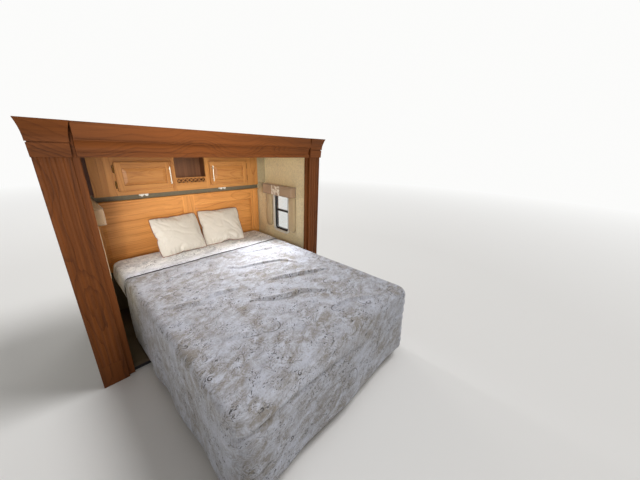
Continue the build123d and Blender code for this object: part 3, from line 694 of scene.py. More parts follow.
class SlideoutCloth(PropertyGroup):
    quilt_pale: colour_property("Quilt, pale", "Lightest tone of the print", tint(178, 181, 192))
    quilt_grey: colour_property("Quilt, grey", "Middle tone of the print", tint(133, 135, 144))
    quilt_taupe: colour_property("Quilt, taupe", "Brown patches", tint(112, 101, 82))
    quilt_ink: colour_property("Quilt, strokes", "Leafy strokes", tint(58, 54, 54))
    cover: colour_property("Head cover", "Cream cloth", tint(250, 249, 245))
    pillow: colour_property("Pillow", "Ivory cover", tint(216, 209, 198))
    piping: colour_property("Pillow piping", "Cord in the pillows' seams", tint(150, 92, 70))
    valance: colour_property("Valance", "Upholstery", tint(184, 154, 124))
    leg: colour_property("Legs", "Padded side strips", tint(204, 180, 140))
    fold_depth: length_property("Fold depth", "How far the skirt's folds stand out", 0.022)
    lip: length_property("Edge radius", "Rounding of the bedding over the mattress's edge", 0.045)
    seam_x: length_property("Seam", "Middle of the bed to a long seam", 0.65)
    thickness: length_property("Quilt thickness", "Thickness of the quilt", 0.009)


class SlideoutStage(PropertyGroup):
    floor: colour_property("Floor", "Stage floor", (0.80, 0.79, 0.77))
    key: FloatProperty(name="Key light", description="Strength of the broad sun lamp", default=1.8, min=0.0)
    window: power_property("Window lamp", "Power of the daylight at the right window; the left one has less",
                           11.0)
    fill: power_property("Fill lamp", "Power of the lamp before the alcove", 6.0)


# Operators

class SLIDEOUT_OT_shell(Operator):
    """Finish the box's walls, roof, floor, trim, seal and racks"""
    bl_idname = "slideout.shell"
    bl_label = "Shell"

    def execute(self, context):
        shell = context.scene.slideout_shell
        # The vinyl is darkened by a level: to a fifth on the outer wall, as painted shade of the slot between
        # the cabinet and the headboard, and a little on the roof.
        for nodes, axis, level in ((("side_wall_left", "side_wall_right"), 0, 1.0), (("outer_wall",), 1, 0.2),
                                   (("roof_panel",), 2, 0.8)):
            inner_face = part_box(nodes[-1])[0][axis]
            set_finish(panel_finish(f"{nodes[-1]}_finish", shade(shell.vinyl, level), shell.coat, axis,
                                    inner_face), *nodes)
        # Painted shade: the right strip's vinyl is darkened, and the left strip gets a dark brown board
        # colour, for both stand in shade beside the cabinet.
        set_finish(strip_finish("filler_finish", shade(shell.vinyl, 0.45), tint(78, 42, 24)), "filler_strips")
        low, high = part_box("floor_panel")
        set_finish(floor_covering("floor_carpet", shell.carpet, tint(36, 36, 38), (low.z + high.z) / 2),
                   "floor_panel")
        set_finish(metal("trim_aluminium", tint(205, 206, 208), 0.34, "z"), "corner_trim")
        set_finish(coated("seal_rubber", tint(26, 26, 27), 0.62, 900.0), "bulb_seal")
        set_finish(metal("rack_steel", tint(168, 168, 164), 0.4, "y"), "gear_racks")
        return {"FINISHED"}


class SLIDEOUT_OT_woodwork(Operator):
    """Finish the fascia, the overhead cabinet, the headboard and the bed's base"""
    bl_idname = "slideout.woodwork"
    bl_label = "Woodwork"

    def execute(self, context):
        wood = context.scene.slideout_wood
        stained = {"gloss": 0.46, "coat": 0.0, "shine": 0.16}
        set_finish(oak("fascia_upright", wood.fascia, wood.fascia_deep, "z", figure=0.42, lines=(0.003, 0.7),
                       **stained), "pilaster_left", "pilaster_right", "side_casings")
        set_finish(oak("fascia_level", wood.fascia, wood.fascia_deep, figure=0.6, **stained),
                   "header", "head_casing", "corbels")

        # The cabinet's oak is the honey oak darkened as painted shade, for the cabinet hangs in shade under
        # the header.
        painted_shade_tones = [shade(tone, 0.84) for tone in (wood.honey, wood.honey_deep)]
        margin = 0.01
        stile = 0.05
        frame_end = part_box("cabinet_face_frame")[1].x + margin
        door_low, door_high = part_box("cabinet_door_right")
        rail_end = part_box("gallery_rail")[1].x
        set_finish(oak("cabinet_oak", *painted_shade_tones, upright=(
            (door_high.x - margin, frame_end), (rail_end, door_low.x + margin))), "cabinet_face_frame")
        set_finish(oak("gallery_oak", *painted_shade_tones), "gallery_rail")
        set_finish(oak("door_oak", *painted_shade_tones, upright=(
            (door_low.x - margin, door_low.x + stile), (door_high.x - stile, door_high.x + margin)),
            lines=(0.006, 0.8)), "cabinet_door_left", "cabinet_door_right")

        # The headboard's oak is the same honey oak brightened as painted light, where daylight from the
        # windows falls on it.
        painted_light_tones = [shade(tone, 1.22) for tone in (wood.honey, wood.honey_deep)]
        grooves = (0.004, 0.6)
        headboard_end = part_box("headboard_frame")[1].x + margin
        panel_low, panel_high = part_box("headboard_panel_right")
        set_finish(oak("headboard_oak", *painted_light_tones, upright=((panel_high.x, headboard_end), (-1.0, panel_low.x)),
                       lines=grooves), "headboard_frame")
        set_finish(oak("headboard_panels", *painted_light_tones, lines=grooves),
                   "headboard_panel_left", "headboard_panel_right", "headboard_cap")

        set_finish(board("cabinet_inside", wood.inside, "z"), "cabinet_carcass")
        set_finish(board("base_board", tint(132, 92, 60)), "base_sides", "base_ends")
        set_finish(plywood("deck_plywood", tint(196, 164, 118)), "bed_deck")
        return {"FINISHED"}


class SLIDEOUT_OT_windows(Operator):
    """Finish the side windows"""
    bl_idname = "slideout.windows"
    bl_label = "Windows"

    def execute(self, context):
        shell = context.scene.slideout_shell
        set_finish(coated("frame_black", shell.frame, 0.36), "window_frame_left", "window_frame_right")
        set_finish(pane("pane_glass", (0.94, 0.97, 0.97)), "window_glass")
        set_finish(coated("liner_white", shell.liner, 0.42, 500.0), "window_liners")
        return {"FINISHED"}


class SLIDEOUT_OT_hardware(Operator):
    """Finish the pulls, the hinges and the reading lamps"""
    bl_idname = "slideout.hardware"
    bl_label = "Hardware"

    def execute(self, context):
        set_finish(metal("pull_nickel", tint(222, 219, 210), 0.26, "z"), "door_pull_left", "door_pull_right")
        set_finish(metal("hinge_brass", tint(118, 86, 48), 0.42, "z"),
                   "frame_hinges", "door_hinges_left", "door_hinges_right")
        set_finish(coated("lamp_white", tint(236, 233, 224), 0.32, 600.0), "reading_lamps")
        return {"FINISHED"}


class SLIDEOUT_OT_valances(Operator):
    """Make the upholstered valances and the padded legs round the windows"""
    bl_idname = "slideout.valances"
    bl_label = "Valances"

    def execute(self, context):
        cloth = context.scene.slideout_cloth
        box_cloth = plain_cloth("valance_cloth", cloth.valance, UPHOLSTERY_WEAVE, 0.25)
        leg_cloth = plain_cloth("leg_cloth", cloth.leg, UPHOLSTERY_WEAVE, 0.25)
        inset_cloth = scroll_cloth("valance_inset", tint(176, 150, 124), tint(238, 230, 214))
        box_cord = plain_cloth("piping_cloth", shade(cloth.valance, 0.75))
        leg_cord = plain_cloth("leg_cord", shade(cloth.leg, 0.85))
        for side, sign in SIDES:
            self.make_box(side, sign, box_cloth, inset_cloth, box_cord)
            self.make_legs(side, sign, leg_cloth, leg_cord)
        return {"FINISHED"}

    def make_box(self, side, sign, box_cloth, inset_cloth, cord_cloth):
        low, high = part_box(f"valance_{side}")
        front, wall = (low.x, high.x) if sign > 0 else (high.x, low.x)
        droop, crown = 0.008, 0.003
        low.z -= droop
        high.z += crown
        middle_y, middle_z = (low.y + high.y) / 2, (low.z + high.z) / 2
        half_y, half_z = (high.y - low.y) / 2, (high.z - low.z) / 2
        depth = abs(wall - front)
        corner = 0.012

        bm = bmesh.new()
        padded_slab(bm, against(wall, sign, middle_y, middle_z), half_y, half_z, corner, [
            (0.0, 0.001), (0.0, depth * 0.5), (0.0005, depth - 0.016), (0.003, depth - 0.008),
            (0.008, depth - 0.003), (0.016, depth - 0.0008), (0.03, depth), (0.046, depth + 0.0004)])
        turn_out(bm, sign)
        box = add_piece(f"valance_box_{side}", bm, box_cloth, replaces=(f"valance_{side}",))

        inset_low, inset_high = FACE_Y + INSET_START, FACE_Y + INSET_END
        inset_middle, inset_half = (inset_low + inset_high) / 2, (inset_high - inset_low) / 2
        bm = bmesh.new()
        padded_slab(bm, against(front, sign, inset_middle, middle_z), inset_half, half_z - 0.002, 0.004,
                    [(0.0, -0.002), (0.0, 0.001), (0.002, 0.0025), (0.008, 0.0036), (0.02, 0.0042)],
                    shift=(sign * 0.7, 0.3))
        turn_out(bm, sign)
        inset = add_piece(f"valance_inset_{side}", bm, inset_cloth)

        cord_low, cord_high = low.z + 0.004, high.z - 0.004
        straight = high.y - low.y - 2 * corner
        turns = ((wall - sign * 0.001, 0.0), (front + sign * 0.016, 0.001), (front + sign * 0.007, 0.005))
        bm = bmesh.new()
        for z in (cord_low, cord_high):
            path = [Vector((x, low.y + off, z)) for x, off in turns]
            path += [Vector((front + sign * 0.004, low.y + corner + straight * k / 24, z)) for k in range(25)]
            path += [Vector((x, high.y - off, z)) for x, off in reversed(turns)]
            tube(bm, path, radius=0.0038)
        for y in (inset_low, inset_high):
            tube(bm, [Vector((front - sign * 0.001, y, cord_low + (high.z - low.z - 0.008) * k / 6))
                      for k in range(7)], radius=0.003)
        add_piece(f"valance_piping_{side}", bm, cord_cloth)

    def make_legs(self, side, sign, leg_cloth, cord_cloth):
        low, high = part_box(f"valance_legs_{side}")
        wall = high.x if sign > 0 else low.x
        thick = high.x - low.x
        half_y, half_z = LEG_WIDTH / 2, (high.z - low.z) / 2
        legs, cords = bmesh.new(), bmesh.new()
        for middle_y in (low.y + half_y, high.y - half_y):
            place = against(wall, sign, middle_y, low.z + half_z)
            padded_slab(legs, place, half_y, half_z, LEG_CORNER, [
                (0.0, 0.001), (0.0, thick * 0.45), (0.001, thick * 0.62), (0.006, thick * 0.8),
                (0.014, thick * 0.92), (0.026, thick * 0.98), (0.042, thick)], shift=(middle_y, 0.0))
            outline = rounded_outline(half_y, half_z, LEG_CORNER)
            tube(cords, [place(point.x, point.y, thick * 0.5) for point in outline], radius=0.0042,
                 closed=True)
        turn_out(legs, sign)
        piece = add_piece(f"window_legs_{side}", legs, leg_cloth,
                          replaces=(f"valance_legs_{side}",))
        add_piece(f"leg_piping_{side}", cords, cord_cloth)


class SLIDEOUT_OT_mattress(Operator):
    """Make the mattress with its tape edges"""
    bl_idname = "slideout.mattress"
    bl_label = "Mattress"

    def execute(self, context):
        low, high = MATTRESS_LOW, MATTRESS_HIGH
        middle = (low + high) / 2
        half = (high - low) / 2
        thick = high.z - low.z
        ticking = plain_cloth("mattress_ticking", tint(226, 222, 212), 2000.0)
        tape_cloth = plain_cloth("mattress_tape", tint(188, 184, 176))

        def standing(x, y, height):
            return Vector((middle.x + x, middle.y + y, low.z + height))

        bm = bmesh.new()
        padded_slab(bm, standing, half.x, half.y, MATTRESS_CORNER, [
            (0.03, 0.0005), (0.012, 0.002), (0.004, 0.008), (0.002, thick * 0.25), (0.0005, thick * 0.5),
            (0.002, thick * 0.75), (0.004, thick - 0.012), (0.012, thick - 0.005), (0.03, thick - 0.0015)])
        piece = add_piece("mattress_body", bm, ticking, replaces=("mattress",))
        bm = bmesh.new()
        tape = rounded_outline(half.x - 0.005, half.y - 0.005, MATTRESS_CORNER - 0.002, step=0.04)
        for height in (0.011, thick - 0.013):
            tube(bm, [standing(p.x, p.y, height) for p in tape], radius=0.0045, closed=True)
        add_piece("mattress_tape_edges", bm, tape_cloth)
        return {"FINISHED"}


# Bedding

ROW_STEP = 0.0088  # of the cloth's rows, from the closed end to the open one
BENDS = 6  # rings of faces round the mattress's edge


def clamped(share):
    return min(1.0, max(0.0, share))


def draped(name, material, replaces, reach, closed_y, open_y, hem, drape, flow_shift=0.0):
    """Cloth over the mattress: a flat top, and a skirt down both sides and the closed end.

    reach is the top's half width, closed_y its closed end and open_y its open one. drape gives the shape:
    lip (the edge's radius), corner, top, flares (side, end), thickness, and the functions wrinkle(x, y),
    which lifts the top, and skirt(run, drop, share, out, start), which pushes the skirt out. Gives the open
    end's line.
    """
    toward = 1.0 if open_y > closed_y else -1.0
    lip, top = drape["lip"], drape["top"]
    flat_half = reach - lip
    length = abs(open_y - closed_y) - lip
    bend = max(0.012, drape["corner"] - lip)
    columns = 2 * round(flat_half / GRID_STEP)
    rows = round(length / ROW_STEP)
    bm = bmesh.new()
    flow = flow_layer(bm)

    def squared(x, y):
        """A point of the flat rectangle, moved onto the rectangle with rounded corners."""
        across = (abs(x) - (flat_half - bend)) / bend
        along = (bend - y) / bend
        if across <= 0 or along <= 0:
            return x, y
        return (math.copysign(flat_half - bend + bend * across * math.sqrt(1 - along * along / 2), x),
                bend - bend * along * math.sqrt(1 - across * across / 2))

    def quad(*corners):
        bm.faces.new(corners if toward > 0 else reversed(corners))

    grid = []
    for j in range(rows + 1):
        line = []
        for i in range(columns + 1):
            x, y = squared(-flat_half + 2 * flat_half * i / columns, length * j / rows)
            world_y = closed_y + toward * (lip + y)
            vert = bm.verts.new((x, world_y, top + drape["wrinkle"](x, world_y)))
            vert[flow] = (x, world_y + flow_shift, 0.0)
            line.append(vert)
        grid.append(line)
    for line, following in zip(grid, grid[1:]):
        for i in range(columns):
            quad(line[i], line[i + 1], following[i + 1], following[i])

    # The edge that the skirt hangs from holds each corner twice, because the print has a seam there
    seams = grid[0][0], grid[0][columns]
    edge = ([grid[j][0] for j in range(rows, 0, -1)] + [seams[0]] + grid[0] + [seams[1]]
            + [grid[j][columns] for j in range(1, rows + 1)])
    drop_total = top - lip - hem
    downs = round(drop_total / GRID_STEP)
    runs = [0.0]
    for here, there in zip(edge, edge[1:]):
        runs.append(runs[-1] + (there.co.xy - here.co.xy).length)
    outs = []
    for n, vert in enumerate(edge):
        across = abs(vert.co.x) - (flat_half - bend)
        along = bend - (abs(vert.co.y - closed_y) - lip)
        if vert in seams:
            along *= 1.01 if rows < n < rows + columns + 2 else 0.99
        if across > 0 and along > 0:
            outs.append(Vector((math.copysign(across, vert.co.x), -toward * along, 0.0)).normalized())
        elif along > 0:
            outs.append(Vector((0.0, -toward, 0.0)))
        else:
            outs.append(Vector((math.copysign(1.0, vert.co.x), 0.0, 0.0)))
    starts = [vert.co.copy() for vert in edge]

    def laid(start, out, cloth, away, level):
        """Where a point of the skirt lies in the print, which hangs straight down each side to its seams."""
        fanned = start.xy + out.xy * cloth
        if not out.x or not out.y:
            return fanned
        turn = math.atan2(abs(out.y), abs(out.x))
        if turn < math.pi / 4:
            flat = flat_half + cloth, closed_y + toward * (lip + bend - turn * (bend + away))
        else:
            flat = flat_half - bend + (math.pi / 2 - turn) * (bend + away), closed_y + toward * (lip - cloth)
        return fanned.lerp(Vector((math.copysign(flat[0], out.x), flat[1])), min(1.0, level / BENDS))

    above = edge
    up = Vector((0.0, 0.0, 1.0))
    ends = [[], []]
    for level in range(1, BENDS + downs + 1):
        ring = []
        for run, start, out in zip(runs, starts, outs):
            if level <= BENDS:
                ease = level / BENDS
                angle = math.pi / 2 * level / BENDS
                share, drop, cloth = 0.0, 0.0, lip * angle
                away, down = lip * math.sin(angle), lip * (1 - math.cos(angle))
            else:
                ease = 1.0
                share = (level - BENDS) / downs
                drop = drop_total * share
                flare = drape["flares"][0] * out.x * out.x + drape["flares"][1] * out.y * out.y
                away, down, cloth = lip + flare * share, lip + drop, lip * math.pi / 2 + drop
            away += drape["skirt"](run, drop, share, out, start) * ease
            lift = (start.z - top) * (1 - ease)
            vert = bm.verts.new(Vector((start.x, start.y, top - down + lift)) + out * away)
            x, y = laid(start, out, cloth, away, level)
            vert[flow] = (x, y + flow_shift, 0.0)
            ring.append(vert)
        for n in range(len(ring) - 1):
            last = () if above[n] is above[n + 1] else (above[n + 1],)
            quad(above[n], ring[n], ring[n + 1], *last)
        above = ring
        tilt = math.pi / 2 * min(1.0, level / BENDS)
        for end, n in ((0, 0), (1, -1)):
            ends[end].append((ring[n], outs[n] * math.sin(tilt) + up * math.cos(tilt)))
    hem_line = [vert.co + Vector((0.0, toward * 0.002, 0.0)) - normal * 0.003
                for vert, normal in list(reversed(ends[0])) + [(vert, up) for vert in grid[rows]] + ends[1]]
    piece = add_piece(name, bm, material, replaces=replaces)
    thick = piece.modifiers.new("Thickness", "SOLIDIFY")
    thick.thickness = drape["thickness"]
    thick.offset = -1.0
    around = runs[-1] + math.pi / 2 * (lip + drop_total)
    area = 2 * flat_half * length + around * (lip * math.pi / 2 + drop_total)
    flat = (2 * (reach + drop_total), length + drop_total + lip)
    min(area, flat[0] * flat[1])
    return hem_line


def flare_of(edge, reach):
    """How far a hem stands out past the edge above it, less the room that the folds need."""
    room = 0.004
    return max(0.0, abs(edge) - abs(reach) - room)


# Long folds across the quilt, as measured in the photo: height and the points (X, Y) that each runs through
FOLDS = (
    (0.009, (-0.665, 0.279), (-0.53, 0.307), (-0.392, 0.324), (-0.278, 0.295)),
    (0.009, (-0.077, 0.219), (0.002, 0.115), (0.209, 0.072), (0.399, -0.007), (0.472, -0.173)),
    (0.015, (0.05, -0.242), (0.3, -0.332), (0.58, -0.44)),
    (0.015, (-0.22, -0.40), (-0.089, -0.498), (0.011, -0.537), (0.136, -0.556), (0.3, -0.72)),
    (0.010, (-0.70, -0.10), (-0.546, -0.16), (-0.46, -0.22)),
    (0.011, (-0.513, -0.193), (-0.365, -0.153), (-0.187, -0.201)),
    (0.009, (0.22, 0.40), (0.45, 0.33), (0.70, 0.30)),
    (0.008, (-0.60, -0.62), (-0.40, -0.72), (-0.22, -0.74)),
    (0.008, (0.10, -0.86), (0.30, -0.90), (0.52, -1.02)),
)
FOLD_REACH = 0.09


def fold_height(point):
    """Height of the long folds at a point: crests, steeper towards the foot, with a hollow on that side."""
    total = 0.0
    for height, *line in FOLDS:
        best = None
        for number, (first, second) in enumerate(zip(line, line[1:])):
            start, end = Vector(first), Vector(second)
            ahead = end - start
            share = clamped((point - start).dot(ahead) / ahead.length_squared)
            off = point - start - ahead * share
            if best is None or off.length < best[0]:
                best = off.length, off.y, (number + share) / (len(line) - 1)
        far, side, along = best
        if far > FOLD_REACH:
            continue
        fade = max(0.0, math.sin(math.pi * clamped(along))) ** 0.6
        crest = bell(far, 0.028 if side > 0 else 0.011)
        hollow = bell(far - 0.026, 0.013) if side < 0 else 0.0
        total += 1.25 * height * fade * (crest - 0.4 * hollow)
    return total


class SLIDEOUT_OT_quilt(Operator):
    """Make the quilt over the foot of the bed"""
    bl_idname = "slideout.quilt"
    bl_label = "Quilt"

    def execute(self, context):
        cloth = context.scene.slideout_cloth
        low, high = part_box("quilt")
        reach = MATTRESS_HIGH.x + QUILT_REACH
        foot = MATTRESS_LOW.y - QUILT_REACH
        finish = leafy_print("quilt_print", cloth.quilt_pale, cloth.quilt_grey, cloth.quilt_taupe,
                             cloth.quilt_ink, 0.95)
        depth = cloth.fold_depth
        seam_x = cloth.seam_x
        corners = [Vector((side * (reach - 0.06), foot + 0.06)) for side in (-1, 1)]

        def wrinkle(x, y):
            """Lift of the top: swells, the long folds, puckers at the foot's corners, seams and a tuck."""
            rise = fold(x * 2.0, y * 2.0, 1.7) * 0.005 + fold(x * 8, y * 8, 4.0) * 0.0014
            rise += fold_height(Vector((x, y)))
            for corner in corners:
                offset = Vector((x, y)) - corner
                far = offset.length
                fan = math.sin(math.atan2(offset.y, -math.copysign(1, corner.x) * offset.x) * 13 + far * 5)
                rise += 0.007 * max(0.0, fan) ** 2 * min(1.0, far / 0.06) ** 2 * math.exp(-far / 0.085)
            groove = -0.003 * bell(abs(x) - seam_x, 0.007)
            away = clamped((high.y - y) / 0.10)
            tuck = -0.008 * bell(high.y - y, 0.022)
            return min(0.010, rise * away + groove + tuck - 0.006)

        def skirt(run, drop, share, out, start):
            """Push of the skirt: folds, drags, the sag below the foot's edge and puckers at the corners."""
            broad = fold(run * 1.9, 3.3, 0.2)
            hang = fold(run * 4.6, drop * 1.4, 4.4) * 0.9
            push = depth * (broad + hang) * (0.08 + share)
            drag = abs(fold(run * 2.2 + drop * 2, drop * 7.5, 12.0))
            push += 0.006 * max(0.0, 1 - drag / 0.12) ** 1.5 * max(0.0, fold(run * 1.3, drop * 2, 31.0) + 0.2)
            push += fold(run * 15, drop * 15, 2.0) * 0.0018
            if out.y < -0.5:
                sag = drop - 0.11 - 0.03 * math.sin(start.x * 3.1)
                width = 0.5 - 0.5 * math.tanh((start.x - 0.05) * 4)
                push += width * (0.010 * bell(sag + 0.03, 0.026) - 0.016 * bell(sag, 0.014))
            corner = Vector((math.copysign(reach - 0.03, start.x), foot + 0.03))
            near = bell((start.xy - corner).length, 0.055)
            ripple = math.sin(drop * 105 + fold(run * 12, drop * 8, 1.0) * 5)
            ripple *= 0.5 + fold(drop * 9, run * 6, 3.0)
            push += near * 0.014 * ripple * min(1.0, drop / 0.05)
            push += 0.016 * bell((start.xy - Vector((reach, foot))).length, 0.22) * (1 - share * 0.4)
            return min(push, 0.016)

        flares = (flare_of(low.x, reach), flare_of(low.y, foot))
        drape = {"lip": cloth.lip, "corner": MATTRESS_CORNER, "top": BED_TOP, "thickness": cloth.thickness,
                 "flares": flares, "wrinkle": wrinkle, "skirt": skirt}
        draped("quilt_cloth", finish, ("quilt",), reach, foot, high.y, low.z, drape)
        return {"FINISHED"}


class SLIDEOUT_OT_head_cover(Operator):
    """Make the pale turned-down end of the bedding"""
    bl_idname = "slideout.head_cover"
    bl_label = "Head cover"

    def execute(self, context):
        cloth = context.scene.slideout_cloth
        low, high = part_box("head_cover")
        edge = low.y
        flow_shift = 2.3
        pale_grey, grey = [tuple(a + (b - a) * share for a, b in zip(cloth.cover, cloth.quilt_grey))
                           for share in (0.3, 0.8)]
        # Painted light: the cover turns bluish white towards its front edge, where daylight falls on it.
        painted_daylight = (tint(214, 215, 224), flow_shift + edge + 0.03, flow_shift + edge + 0.16)
        finish = leafy_print("cover_print", cloth.cover, pale_grey, grey, cloth.quilt_ink, 0.8, painted_daylight=painted_daylight)

        def wrinkle(x, y):
            """Lift of the top: slow swells, small puffs, and a hem with a groove along the lower edge."""
            slow = fold(x * 3.1, y * 3.1, 8.7) * 0.003
            puff = fold(x * 17, y * 17, 3.1) * 0.002 + fold(x * 7, y * 7, 6.6) * 0.0025
            band = 0.004 * bell(y - edge - 0.035, 0.03)
            groove = -0.004 * bell(y - edge - 0.088 + 0.012 * fold(x * 2, 0.3, 5.0), 0.010)
            return slow + puff + band + groove - 0.007

        def skirt(run, drop, share, out, start):
            """Push of the short drops at the sides: small folds and a swell."""
            swell = 0.012 * math.sin(math.pi * min(1.0, share)) if abs(out.x) > 0.5 else 0.0
            return (0.004 * fold(run * 5, 1.3, 0.2) * share + fold(run * 18, drop * 9, 6.0) * 0.0015 + swell
                    - 0.002)

        drape = {"lip": 0.04, "corner": 0.08, "top": BED_TOP, "thickness": 0.005, "flares": (0.0, 0.0),
                 "wrinkle": wrinkle, "skirt": skirt}
        hem_line = draped("head_cover_cloth", finish, ("head_cover",), high.x, high.y, edge,
                          low.z, drape, flow_shift)
        # A dark cord along the hem: painted shadow of the crease where the cover's edge meets the quilt.
        bm = bmesh.new()
        tube(bm, hem_line[::2], radius=0.0036, sides=6)
        add_piece("head_cover_shadow_cord", bm, plain_cloth("shadow_cord_cloth", cloth.quilt_ink))
        return {"FINISHED"}


class SLIDEOUT_OT_pillows(Operator):
    """Make the two pillows as blown-up cloth, leaning on the headboard"""
    bl_idname = "slideout.pillows"
    bl_label = "Pillows"

    def execute(self, context):
        cloth = context.scene.slideout_cloth
        finish = satin("pillow_ivory", cloth.pillow)
        piping = plain_cloth("pillow_piping", cloth.piping)
        for side, turn, seed in (("left", 3.0, 11), ("right", -8.0, 23)):
            self.make_pillow(side, turn, seed, finish, piping)
        return {"FINISHED"}

    def make_pillow(self, side, turn, seed, finish, piping):
        low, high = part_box(f"pillow_{side}")
        centre = (low + high) / 2
        bm, rim = self.sewn(seed)
        piece = add_piece(f"pillow_cloth_{side}", bm, finish, replaces=(f"pillow_{side}",))
        inflate(piece, pressure=2.2, frames=30)
        points = [vert.co.copy() for vert in piece.data.vertices]
        width, height, thick = [max(p[k] for p in points) - min(p[k] for p in points) for k in range(3)]
        wider, higher = PILLOW[0] / width, PILLOW[1] / height
        thicker = PILLOW[2] / thick if thick > 0.05 else 1.0
        facing, lean = math.radians(turn), math.radians(PILLOW_LEAN)
        normal = Vector((
            math.sin(lean) * math.sin(facing), -math.sin(lean) * math.cos(facing), math.cos(lean)))
        along = Vector((math.cos(facing), math.sin(facing), 0.0))
        up = normal.cross(along)
        for p in points:
            p.z += math.copysign(1.0, p.z) * self.crumple(p, seed)
        placed = [centre + along * p.x * wider + up * p.y * higher + normal * p.z * thicker for p in points]

        # How deep the pillow sinks into the bedding, and how far the headboard flattens it
        sunk, pressed = 0.012, 0.012
        drop = min(p.z for p in placed) - BED_TOP + sunk
        back = max(p.y for p in placed) - HEADBOARD_Y
        cloth_top = BED_TOP - 0.002
        for vert, point in zip(piece.data.vertices, placed):
            point.z -= drop
            point.y -= max(0.0, back - pressed)
            if point.z < cloth_top:
                point.z = cloth_top - (cloth_top - point.z) * 0.2
            point.y = min(point.y, HEADBOARD_Y - 0.001)
            vert.co = point
        piece.data.update()
        soften = piece.modifiers.new("Soft", "SUBSURF")
        soften.levels = soften.render_levels = 1
        bm = bmesh.new()
        tube(bm, [piece.data.vertices[index].co.copy() for index in rim], radius=0.003, closed=True, sides=6)
        add_piece(f"pillow_piping_{side}", bm, piping)

    def sewn(self, seed):
        """The cover's two faces, sewn along the rim, and the numbers of the rim's points."""
        width, height = PILLOW[:2]
        bulge, corner = 0.035, 0.03
        step = 0.0085
        columns, rows = round(width / step), round(height / step)
        bm = bmesh.new()
        flow = flow_layer(bm)
        front = []
        for face in (1, -1):
            grid = []
            for j in range(rows + 1):
                line = []
                for i in range(columns + 1):
                    on_rim = i in (0, columns) or j in (0, rows)
                    if face < 0 and on_rim:
                        line.append(front[j][i])
                        continue
                    u, v = 2 * i / columns - 1, 2 * j / rows - 1
                    rounding = corner * (u * v) ** 4
                    x = u * (1 + bulge * (1 - v * v)) * width / 2 * (1 - rounding)
                    y = v * (1 + bulge * (1 - u * u)) * height / 2 * (1 - rounding)
                    rise = min(1.0, min(i, columns - i, j, rows - j) / 6)
                    z = face * (0.001 + 0.010 * rise) + fold(x * 22, y * 22, seed) * 0.003 * rise
                    vert = bm.verts.new((x, y, 0.0 if on_rim else z))
                    vert[flow] = (x + seed, y + face, 0.0)
                    line.append(vert)
                grid.append(line)
            for line, following in zip(grid, grid[1:]):
                for i in range(columns):
                    quad = (line[i], line[i + 1], following[i + 1], following[i])
                    bm.faces.new(quad if face > 0 else reversed(quad))
            front = front or grid
        bm.verts.index_update()
        rim = (front[0] + [line[columns] for line in front[1:]] + front[rows][-2::-1]
               + [line[0] for line in reversed(front[1:-1])])
        return bm, [vert.index for vert in rim]

    def crumple(self, p, seed):
        """How far the puckers at the seams and corners, and the creases, push a point of the cover out."""
        width, height = PILLOW[:2]
        rim_x, rim_y = width / 2 * 1.02 - abs(p.x), height / 2 * 1.02 - abs(p.y)
        near_end = bell(rim_y - 0.028, 0.032) * (2.8 if p.y < 0 else 1.2)
        near_side = bell(rim_x - 0.02, 0.022) * 0.7
        ear = Vector((width / 2 - abs(p.x), height / 2 - abs(p.y)))
        fan = math.sin(math.atan2(ear.y, ear.x) * 11 + math.copysign(seed, p.x) + p.y) ** 2
        crease = max(0.0, 1 - abs(fold(p.x * 6 + seed, p.y * 11 + p.x * 4, 4.0)) / 0.1) ** 1.5
        return (0.0095 * (near_end * fold(p.x * 52 + seed, p.y * 5, 2.0)
                          + near_side * fold(p.x * 5, p.y * 38 + seed, 9.0))
                + 0.015 * (fan - 0.5) * min(1.0, ear.length / 0.03) * math.exp(-ear.length / 0.07)
                - 0.005 * crease)


def inflate(piece, pressure, frames):
    """Blows a closed cloth up by pressure and keeps the shape."""
    scene = bpy.context.scene
    cloth = piece.modifiers.new("Blow", "CLOTH")
    for key, value in {
            "quality": 6, "mass": 0.2, "air_damping": 3.0, "tension_stiffness": 20.0,
            "compression_stiffness": 12.0, "shear_stiffness": 8.0, "bending_stiffness": 0.006,
            "use_pressure": True, "uniform_pressure_force": pressure}.items():
        setattr(cloth.settings, key, value)
    cloth.settings.effector_weights.gravity = 0.0
    cloth.collision_settings.use_collision = False
    cloth.point_cache.frame_start = 1
    cloth.point_cache.frame_end = frames
    for number in range(1, frames + 1):
        scene.frame_set(number)
    shaped = piece.evaluated_get(bpy.context.evaluated_depsgraph_get())
    places = [vert.co.copy() for vert in shaped.data.vertices]
    piece.modifiers.remove(cloth)
    for vert, place in zip(piece.data.vertices, places):
        vert.co = place
    piece.data.update()
    scene.frame_set(1)


# Stage

BACKDROP = (0.97, 0.97, 0.96)
FADE = (3.5, 13.0)  # the distances between which the floor turns into the backdrop
WARM, PLAIN, DAYLIGHT = (1.0, 0.95, 0.87), (1.0, 0.99, 0.97), (0.94, 0.97, 1.0)
CAMERA_X, CAMERA_BACK, CAMERA_HEIGHT = -1.091, 2.029, 1.637  # back from the fascia
CAMERA_HEADING, CAMERA_DOWN, CAMERA_ROLL = -47.81, 19.25, 1.96
CAMERA_SENSOR, CAMERA_LENS = 36.0, 14.6  # millimetres


